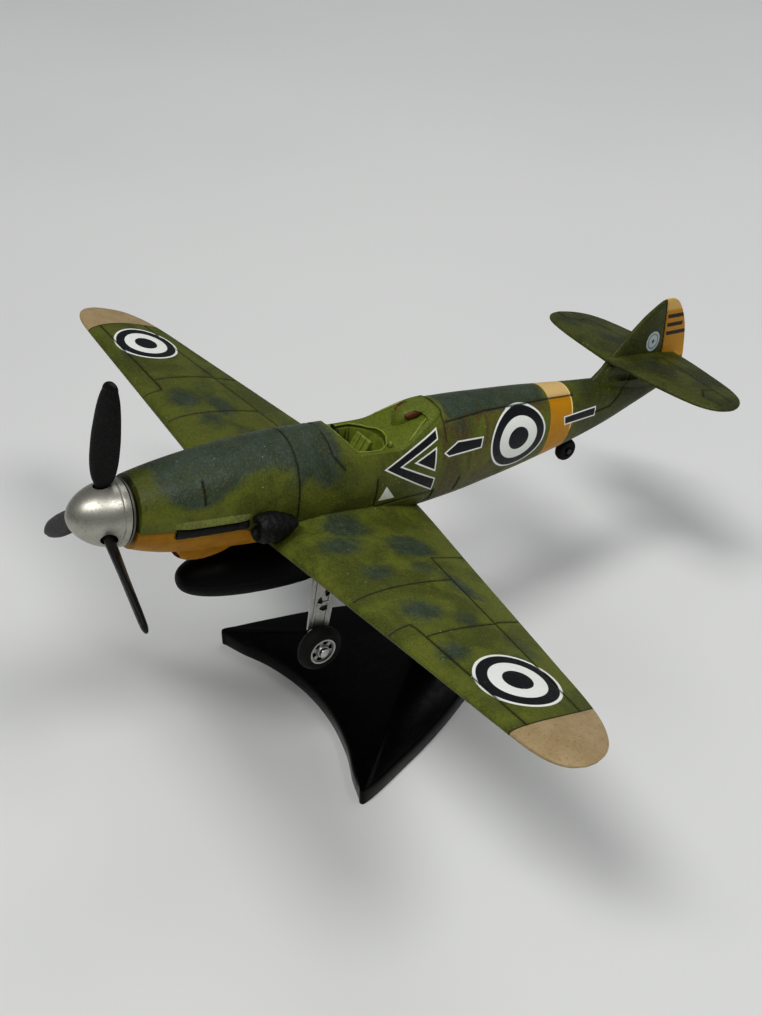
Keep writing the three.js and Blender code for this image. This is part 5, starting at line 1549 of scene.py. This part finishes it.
def fairing_rib(side, offset):
    """A raised rib lying on the deck, thinner at its ends."""
    start = Vector((side * (4.1 - offset * 0.35), 44.5 + offset, 0))
    end = Vector((side * (2.7 - offset * 0.2), 47.4 + offset, 0))
    last = 13
    points = []
    for t in np.linspace(0, 1, last + 1):
        point = start.lerp(end, t)
        point.z = float(deck_height(point.x, point.y)[0]) + 0.03
        points.append(point)
    rings = []
    for i, point in enumerate(points):
        along = (points[min(i + 1, last)] - points[max(i - 1, 0)]).normalized()
        frame = along.to_track_quat("Z", "Y").to_matrix()
        r = 0.13 * min(1, 0.45 + min(i, last - i) * 0.4)
        rings.append([list(point + frame @ Vector((r * math.cos(a), r * math.sin(a), 0)))
                      for a in angles(12)])
    return loft(rings)


def deck_details():
    """Two ribs on each side of the deck, and a small lug on the port sill."""
    for tag, side in SIDES:
        for k, offset in enumerate((0.0, 0.55)):
            finish(fairing_rib(side, offset), "fairing_rib_%s_%d" % (tag, k + 1), COCKPIT_GREEN,
                   angle=60)
    lug = bar((3.35, 42.1, 5.1), (3.35, 42.1, 5.95), 0.34, 0.26, sides=24, ease=0.1)
    finish(lug, "sill_lug", COCKPIT_GREEN, angle=50)


# ------------------------------------------------------------------ propeller unit
# in the thrust frame: y of the tip and rear plate, spinner radius, first blade's angle, hub y
SPINNER_TIP, SPINNER_BACK, SPINNER_RADIUS, CLOCKING, HUB_Y = -7.95, -1.35, 4.04, -5.5, -4.0
BORE, SHAFT_RADIUS = 0.53, 0.5


def blade_turn(k):
    return Matrix.Rotation(math.radians(CLOCKING + 120 * k), 4, "Y")


def spinner():
    end, lip_y = SPINNER_BACK - 0.35, SPINNER_BACK - 1.2
    profile = []
    for t in np.linspace(0, 1, 60) ** 1.35:
        r = SPINNER_RADIUS * (1 - (1 - t) ** 2.05) ** 0.56
        y = SPINNER_TIP + (end - SPINNER_TIP) * t
        if y > SPINNER_BACK - 1.35:  # a fine groove near the rear edge
            r = r - 0.05 * math.exp(-(((y - lip_y) / 0.07) ** 2))
        profile.append((r, y))
    profile += [(SPINNER_RADIUS - 0.02, SPINNER_BACK - 0.37), (0, SPINNER_BACK - 0.37)]
    cap = turned(profile, 160, radius=0.01)
    cut(cap, turned([(0, -5.6), (2.35, -5.6), (2.95, -4.6), (2.95, 0), (0, 0)], 64))
    for k in range(3):
        cut(cap, moved(bar((0, HUB_Y, 0), (0, HUB_Y, 5.2), 0.98), blade_turn(k)))
    finish(cap, "spinner_cap", SPINNER_SILVER, "spinner", 30, "propeller_unit", THRUST)

    inner, outer = 0.56, SPINNER_RADIUS - 0.04
    front, back = SPINNER_BACK - 0.2, SPINNER_BACK + 0.1
    plate = turned([(inner, front), (outer, front), (outer, back), (inner, back)], 160,
                   radius=0.05, closed=True)
    finish(plate, "spinner_rear_plate", RIM_SILVER, "spinner_backplate", 35,
           "propeller_unit", THRUST)


def blade():
    tip_start = 15.0
    tip = tip_start + (1 - (1 - np.linspace(0.04, 1, 22)) ** 2.2) * 1.0
    r = np.concatenate([np.linspace(1.2, tip_start, 60), tip])
    chord, thickness, pitch = table_at(BLADE, r).T

    def rounded(values, at_start, reach, least):
        curve = at_start * np.sqrt(np.clip(1 - ((r - tip_start) / reach) ** 2, least, 1))
        return np.where(r > tip_start, curve, values)

    chord = rounded(chord, 2.15, 1.02, 0.01)
    thickness = rounded(thickness, 0.85, 1.04, 0.05)
    turn = angles(44)
    u = (chord / 2)[:, None] * np.sin(turn)[None]
    v = (thickness / 2)[:, None] * np.cos(turn)[None]
    c, s = np.cos(np.radians(pitch))[:, None], np.sin(np.radians(pitch))[:, None]
    return loft(np.stack([u * c - v * s, u * s + v * c + HUB_Y,
                          np.repeat(r[:, None], 44, 1)], -1))


def propeller():
    front, back = HUB_Y - 1.0, HUB_Y + 1.2
    piece = turned([(BORE, front), (2.0, front), (2.2, HUB_Y - 0.8), (2.2, HUB_Y + 1.0),
                    (2.0, back), (BORE, back)], 72, radius=0.05, closed=True)
    for k in range(3):
        join(piece, moved(blade(), blade_turn(k)))
    cut(piece, turned([(0, -7), (BORE, -7), (BORE, 0), (0, 0)], 48, radius=0.001))
    finish(piece, "propeller_blades", PROPELLER_BLACK, "propeller", 35,
           "propeller_unit", THRUST)


def shaft_and_bushing():
    shaft = turned([(0, -5.1), (SHAFT_RADIUS, -5.1), (SHAFT_RADIUS, 5.6), (0, 5.6)], 48)
    finish(shaft, "propeller_shaft_visual", BRIGHT_STEEL, "prop_shaft",
           body="propeller_unit", matrix=THRUST)
    bushing = turned([(0.58, 0.35), (1.25, 0.35), (1.25, 6.0), (0.58, 6.0)], 48, closed=True)
    finish(bushing, "shaft_bushing_visual", BRASS, "shaft_bushing", matrix=THRUST)


# ------------------------------------------------------------------ main gear
WHEEL_X, WHEEL_Y, WHEEL_Z = 12.6, 29.1, -16.6
LEG_TOP = (8.2, 31.0, -5.2)
WHEEL_HALF, RIM_RADIUS, AXLE_RADIUS = 2.1 / 2, 1.85, 0.4
LEG_X = WHEEL_X - WHEEL_HALF - 0.35 - 0.5
# dark recesses in the door: share along the leg, y offset, half y, half z, phase of the edge
DOOR_RECESSES = (
    (0.19, 0.3, 0.66, 0.44, 0.4), (0.4, 0.42, 0.42, 0.72, 2.1),
    (0.54, -0.5, 0.34, 0.4, 4.0), (0.68, 0.2, 0.56, 0.38, 5.2))


def leg_line(side):
    """A function from a share of the leg's length to a point on its centre line."""
    top = Vector((side * LEG_TOP[0], LEG_TOP[1], LEG_TOP[2]))
    foot = Vector((side * LEG_X, WHEEL_Y, WHEEL_Z - 0.3))
    return lambda share: top.lerp(foot, share)


def gear_leg(tag, side):
    at = leg_line(side)

    def cross_bar(inner, outer, radius, sides, ease=0.0):
        return bar((side * (LEG_X - inner), WHEEL_Y, WHEEL_Z),
                   (side * (LEG_X + outer), WHEEL_Y, WHEEL_Z), radius, sides=sides, ease=ease)

    leg = bar(at(0), at(0.55), 0.62, sides=40)
    join(leg, bar(at(0.5), at(1.02), 0.42, sides=36),
         bar(at(0.5), at(0.56), 0.74, sides=40, ease=0.08),
         bar(at(0.9), at(0.97), 0.6, sides=36, ease=0.08),
         bar(at(0.16), at(0.22), 0.74, sides=36, ease=0.08))
    knee = at(0.75) + Vector((0, 1.3, 0))
    join(leg, bar(at(0.55), knee, 0.2, sides=16), bar(knee, at(0.96), 0.2, sides=16),
         cross_bar(0.55, 0.5, 0.78, 48, ease=0.08))
    cut(leg, cross_bar(1.2, 1.2, AXLE_RADIUS + 0.03, 36))
    finish(leg, "gear_leg_body_" + tag, WORN_SILVER, "gear_leg_" + tag, 35)


def recess_outline(door_point, recess, scale=1.0):
    """The recess's wavy edge: y, z."""
    _, offset, half_y, half_z, phase = recess
    centre = door_point(recess[0])
    a = angles(28)
    wave = 1 + 0.1 * np.sin(3 * a + phase) + 0.06 * np.sin(5 * a + 2 * phase)
    return np.column_stack([centre.y + offset + half_y * scale * np.cos(a) * wave,
                            centre.z + half_z * scale * np.sin(a) * wave])


def gear_door(tag, side):
    """A plate outboard of the leg with raised edges, two ribs and dark recesses."""
    at = leg_line(side)

    def door_point(share):
        return at(0.13 + 0.66 * share)

    rings = []
    section = ((0.17, -0.97), (0.17, 0.97), (0.1, 1.0), (-0.12, 1.0),
               (-0.17, 0.97), (-0.17, -0.97), (-0.12, -1.0), (0.1, -1.0))
    for share in np.linspace(0, 1, 30):
        q = door_point(share)
        half = 2.0 * (1 - 0.2 * share)
        rings.append([(q.x + side * (0.98 + dx), q.y - 0.1 + dy * half, q.z)
                      for dx, dy in section])
    door = loft(rings)
    for start, end, half in ((0.16, 0.2, 1.2), (0.5, 0.545, 1.0)):
        q = at((start + end) / 2)
        x = q.x + side * 1.1
        join(door, box(x - 0.12, x + 0.12, q.y - half, q.y + half, q.z - 0.22, q.z + 0.22, 0.04))
    for offset in (-1.25, 1.05):
        rings = []
        for share in np.linspace(0.02, 0.98, 12):
            q = door_point(share)
            y = q.y - 0.1 + offset * (1 - 0.22 * share)
            x = q.x + side * 1.14
            rings.append([(x + dx, y + dy, q.z) for dx, dy in
                          ((0.09, -0.14), (0.13, 0.0), (0.09, 0.14), (-0.1, 0.16),
                           (-0.1, -0.16))])
        join(door, loft(rings))
    for recess in DOOR_RECESSES:
        x = door_point(recess[0]).x + side * 1.15
        cut(door, plate_yz(recess_outline(door_point, recess), x - 0.17, x + 0.17))
    for share in (0.3, 0.5):  # pins between leg and door
        q = at(share)
        join(door, bar((q.x + side * 0.6, q.y, q.z), (q.x + side * 1.0, q.y, q.z), 0.3, sides=24))
    finish(door, "gear_door_plate_" + tag, WORN_SILVER, "gear_door_" + tag, 35)

    for i, recess in enumerate(DOOR_RECESSES):
        x = door_point(recess[0]).x
        fill = loft([[(x + side * (0.99 + dx), y, z)
                      for y, z in recess_outline(door_point, recess, scale)]
                     for dx, scale in ((-0.1, 0.9), (0.06, 0.94), (0.1, 0.76))])
        finish(fill, "gear_door_recess_%s_%d" % (tag, i + 1), RECESS_BLACK,
               angle=50)


def wheel_axle(tag, centre, side):
    x, y, z = centre
    axle = bar((side * (LEG_X - 0.5), y, z), (x + side * (WHEEL_HALF + 0.1), y, z), AXLE_RADIUS,
               sides=40)
    join(axle, bar((x + side * (WHEEL_HALF + 0.08), y, z), (x + side * (WHEEL_HALF + 0.3), y, z),
                   0.62, ease=0.07))
    finish(axle, "wheel_axle_" + tag, BRIGHT_STEEL, "axle_" + tag, 35)


def wheel_hub(tag, centre):
    w, bore = WHEEL_HALF, AXLE_RADIUS + 0.1
    hub = turned([(bore, -w), (0.8, -w), (0.92, -w + 0.35), (1.5, -w + 0.35), (1.56, -w + 0.1),
                  (RIM_RADIUS, -w + 0.1), (RIM_RADIUS, w - 0.1), (1.56, w - 0.1),
                  (1.5, w - 0.35), (0.92, w - 0.35), (0.8, w), (bore, w)],
                 96, "x", centre, 0.05, True)
    # openings between the spokes: radius, angle from the opening's middle
    opening = ((0.98, -0.26), (1.42, -0.3), (1.46, 0.0), (1.42, 0.3), (0.98, 0.26), (0.94, 0.0))
    for k in range(6):
        a = k * math.pi / 3 + 0.3
        points = [(centre[1] + r * math.cos(a + da), centre[2] + r * math.sin(a + da))
                  for r, da in opening]
        cut(hub, plate_yz(points, centre[0] - 2, centre[0] + 2))
    finish(hub, "wheel_hub_body_" + tag, WORN_SILVER, "wheel_hub_" + tag, 35,
           "main_wheel_" + tag)


def wheel_tyre(tag, centre):
    w = WHEEL_HALF
    inner_half = [(RIM_RADIUS + 0.03, -w + 0.12), (2.05, -w + 0.02), (2.3, -w), (2.5, -w + 0.05),
                  (2.75, -w + 0.3), (2.95, -w + 0.62), (3.06, -0.25)]
    profile = inner_half + [(3.1, 0.0)] + [(r, -x) for r, x in inner_half[::-1]]
    tyre = turned(profile, 120, "x", centre, 0.12, True)
    x, y, z = (vertex_data(tyre) - np.array(centre)).T
    groove = np.exp(-((np.hypot(y, z) - 2.22) / 0.05) ** 2) * (np.abs(x) > w * 0.7)
    push(tyre, -0.05 * groove)
    finish(tyre, "wheel_tyre_body_" + tag, TYRE_RUBBER, "wheel_tyre_" + tag, 50,
           "main_wheel_" + tag)


def main_gear():
    for tag, side in SIDES:
        centre = tuple(Vector((side * WHEEL_X, WHEEL_Y, WHEEL_Z)))
        gear_leg(tag, side)
        gear_door(tag, side)
        wheel_axle(tag, centre, side)
        wheel_hub(tag, centre)
        wheel_tyre(tag, centre)


# ------------------------------------------------------------------ tail wheel
def tail_wheel():
    y, z, radius, half = 78.9, -2.6, 1.75, 0.68
    arm = -half - 0.42  # the strut's arm stands to starboard of the wheel
    bend = (0, 77.9, -0.65)
    shoulder = (arm, 78.2, -1.0)
    strut = bar((0, 77.4, 1.3), bend, 0.5, 0.45, sides=32)
    join(strut, bar(bend, shoulder, 0.34, sides=28), bar(shoulder, (arm, y, z), 0.3, sides=28),
         bar((arm - 0.25, y, z), (arm + 0.25, y, z), 0.48, sides=32))
    cut(strut, bar((arm - 1, y, z), (arm + 1, y, z), 0.3, sides=28),
        bar((-half - 0.12, y, z), (half + 0.12, y, z), radius + 0.12),
        fuselage_skin(70, 88, 0.8, 90, grow=0.02))
    keep_largest(strut)
    finish(strut, "tail_strut_body", CAMO_TAIL, "tail_wheel_strut", 40,
           masks=no_blue)

    axle = bar((arm - 0.3, y, z), (half + 0.1, y, z), 0.26, sides=32)
    join(axle, bar((half + 0.08, y, z), (half + 0.25, y, z), 0.42, sides=32, ease=0.05))
    finish(axle, "tail_axle_body", TARNISHED_STEEL, "tail_wheel_axle", 35)

    side_half = [(0.33, -half + 0.15), (0.72, -half + 0.15), (0.85, -half), (1.38, -half + 0.02),
                 (1.64, -half + 0.25)]
    profile = side_half + [(radius, 0)] + [(r, -x) for r, x in side_half[::-1]]
    wheel = turned(profile, 96, "x", (0.0, y, z), 0.08, True)
    finish(wheel, "tail_wheel_body", TYRE_RUBBER, "tail_wheel", 45, "tail_wheel_unit")


# ------------------------------------------------------------------ stand
# the base's port half from front to back: x, y
BASE_HALF = [
    (0, -13.1), (5.5, -13.55), (11, -14.95), (15.2, -16.75), (18.2, -17.75), (19.1, -18.1),
    (19.5, -17.4), (18.9, -14.6), (17.6, -10.2), (15.9, -4.8), (13.7, 1.0), (10.9, 7.0),
    (7.6, 12.6), (4.0, 16.8), (0, 18.5)]
# height, inset of the edge
BASE_LEVELS = [
    (0.0, 0.1), (0.05, 0.03), (0.12, 0.0), (1.8, 0.0), (2.08, 0.03), (2.3, 0.1),
    (2.46, 0.22), (2.56, 0.36), (2.6, 0.5)]
# the stem's edge on its port side: distance from the centre plane, inset
STEM_EDGE = [(1.1, 0.0), (1.3, 0.03), (1.46, 0.12), (1.56, 0.24), (1.6, 0.4)]
STEM_FOOT_Z = 2.7
STEM_SCREW_Y = 10


def stand_base():
    steps = 12
    # the mirrored neighbours steer the curve at the ends and are then dropped
    curve = spline([(-5.5, -13.55)] + BASE_HALF + [(-4.0, 16.8)], steps)[steps:-steps]
    outline = np.concatenate([curve, curve[1:-1][::-1] * np.array([-1, 1])])
    base = stacked(outline, BASE_LEVELS, tips=[(19.3, -17.9), (-19.3, -17.9)])
    y = STEM_SCREW_Y
    cut(base, box(-1.3, 1.3, y - 2.7, y + 2.7, 1.3, 4), bar((0, y, -1), (0, y, 2), 0.75),
        bar((0, y, -1), (0, y, 0.8), 1.9, sides=72))
    finish(base, "stand_base_plate", STAND_BLACK, "stand_base", 40, "stand",
           SCENE_MM)


def plane_point(y, z):
    """Scene y, z in millimetres of a point on the aeroplane's centre plane."""
    c, s = math.cos(PITCH), math.sin(PITCH)
    return np.array([y * c + z * s + ORIGIN.y, -y * s + z * c + ORIGIN.z])


def stand_stem():
    seat_z, half, foot = BELLY_Z - 0.25, 2.7, STEM_FOOT_Z
    rear = bezier((15.0, foot), (12.2, foot + 9), plane_point(STEM_Y + half, seat_z - 6),
                  plane_point(STEM_Y + half, seat_z))
    fore = bezier(plane_point(STEM_Y - half, seat_z), plane_point(STEM_Y - half, seat_z - 6),
                  (6.6, foot + 9), (5.0, foot))
    outline = np.concatenate([rear, np.linspace(rear[-1], fore[0], 8)[1:-1],
                              fore, np.linspace(fore[-1], rear[0], 8)[1:-1]])
    stem = stacked(outline, [(-x, inset) for x, inset in STEM_EDGE[::-1]] + STEM_EDGE)
    set_coords(stem, vertex_data(stem)[:, [2, 0, 1]])  # stand the plate on edge
    tongue = plate_yz([plane_point(STEM_Y - 1.7, seat_z - 1.5),
                       plane_point(STEM_Y + 1.7, seat_z - 1.5),
                       plane_point(STEM_Y + 1.5, seat_z + 2.4),
                       plane_point(STEM_Y - 1.5, seat_z + 2.4)], -0.95, 0.95, 0.12)
    y = STEM_SCREW_Y
    join(stem, tongue, box(-1.1, 1.1, y - 2.5, y + 2.5, 1.45, foot + 1.5))
    cut(stem, bar((0, y, 0), (0, y, foot + 3), 0.6))
    finish(stem, "stand_stem_blade", STAND_BLACK, "stand_stem", 40, "stand",
           SCENE_MM)
    piece = screw(y, top=0.72, bottom=0.12, shank_end=foot + 2.4, head_radius=1.6)
    finish(piece, "stem_screw_visual", BRIGHT_STEEL, "stem_screw", body="stand",
           matrix=SCENE_MM)


# ------------------------------------------------------------------ floor, light, camera
def make_floor():
    corners = [(-4, -4, 0), (4, -4, 0), (4, 4, 0), (-4, 4, 0)]
    floor = mesh_object(corners, [(0, 1, 2, 3)], "floor")
    paint = Paint("floor_pale")
    place = paint.scene_place()
    broad = paint.noise(place, scale=0.006, detail=3.0)
    fine = paint.noise(place, scale=0.6, detail=3.0, roughness=0.6)
    paint.color = (0.70, 0.705, 0.70, 1)
    paint.over(broad.ramp(0.3, 0.7), (0.73, 0.735, 0.725, 1))
    normal = paint.bump(fine, strength=0.05, distance=0.0001)
    floor.data.materials.append(paint.surface(0.75, normal, specular=0.2))


def make_world():
    """A faint cool sky for lighting; the camera sees plain grey."""
    world = bpy.data.worlds.new("studio")
    bpy.context.scene.world = world
    world.use_nodes = True
    nodes, links = world.node_tree.nodes, world.node_tree.links
    sky = nodes["Background"]
    sky.inputs["Color"].default_value = (0.93, 0.96, 1.0, 1)
    sky.inputs["Strength"].default_value = 0.17
    backdrop = nodes.new("ShaderNodeBackground")
    backdrop.inputs["Color"].default_value = (0.40, 0.405, 0.41, 1)
    ray = nodes.new("ShaderNodeLightPath")
    pick = nodes.new("ShaderNodeMixShader")
    links.new(ray.outputs["Is Camera Ray"], pick.inputs[0])
    links.new(sky.outputs[0], pick.inputs[1])
    links.new(backdrop.outputs[0], pick.inputs[2])
    links.new(pick.outputs[0], nodes["World Output"].inputs[0])


def columns_matrix(x_axis, y_axis, z_axis, place):
    columns = (x_axis, y_axis, z_axis, place)
    return Matrix([[column[i] for column in columns] for i in range(3)] + [(0, 0, 0, 1)])


def lamp(name, kind, energy, color):
    data = bpy.data.lights.new(name, kind)
    data.energy, data.color = energy, color
    piece = bpy.data.objects.new(name, data)
    bpy.context.scene.collection.objects.link(piece)
    return piece


def disc_lamp(name, place, aim, size, energy, color):
    piece = lamp(name, "AREA", energy, color)
    piece.data.shape, piece.data.size = "DISK", size
    piece.location = place
    piece.rotation_euler = (Vector(aim) - Vector(place)).to_track_quat("-Z", "Y").to_euler()


def make_lights():
    key = lamp("key_strip", "AREA", energy=1.15, color=(1.0, 0.995, 0.97))
    key.data.shape, key.data.size, key.data.size_y = "RECTANGLE", 0.46, 0.07
    place = Vector((0.155, -0.30, 0.70))
    backward = (place - Vector((0, -0.01, 0))).normalized()
    along = Vector((0.406, 0.245, 0.0))  # the strip's long direction
    along = (along - backward * along.dot(backward)).normalized()
    key.matrix_world = columns_matrix(along, backward.cross(along), backward, place)

    window = lamp("window", "SUN", energy=0.74, color=(1.0, 1.0, 0.99))
    window.data.angle = math.radians(16)
    toward = Vector((0.12, -0.46, 1.0))
    window.rotation_euler = toward.to_track_quat("Z", "Y").to_euler()

    disc_lamp("port_lamp", place=(0.36, 0.13, 0.64), aim=(0.0, -0.01, 0.0), size=0.22,
              energy=1.3, color=(1.0, 0.995, 0.98))
    disc_lamp("rim", place=(-0.25, 0.35, 0.65), aim=(0.0, 0.0, 0.02), size=0.35,
              energy=0.45, color=(0.97, 0.985, 1.0))


def make_camera():
    data = bpy.data.cameras.new("camera")
    camera = bpy.data.objects.new("camera", data)
    bpy.context.scene.collection.objects.link(camera)
    right = Vector((0.5679367, 0.8230664, 0.0031105))
    up = Vector((-0.4752569, 0.3248492, 0.8176820))
    forward = Vector((-0.6719961, 0.4658697, -0.5756618))
    place = Vector((112.3116, -79.0677, 130.2832)) / 1000
    camera.matrix_world = columns_matrix(right, up, -forward, place)
    data.sensor_width, data.sensor_fit, data.lens = 36, "AUTO", 43.9713
    data.shift_x, data.shift_y = -0.0024532, -0.0211573
    data.clip_start, data.clip_end = 0.005, 20
    bpy.context.scene.camera = camera
    bpy.context.scene.view_settings.view_transform = "Standard"
    bpy.context.scene.view_settings.look = "Medium High Contrast"


for build in (fuselage_shell, chin_cowl, exhausts, belly_insert, belly_screw, wing, radiators,
              tailplane, intake, drop_tank, tank_rack, cockpit_tub, pilot_seat,
              instrument_panel, gunsight, headrests, cockpit_coaming, deck_details, spinner,
              propeller, shaft_and_bushing, main_gear, tail_wheel, stand_base, stand_stem,
              make_floor, make_world, make_lights, make_camera):
    build()
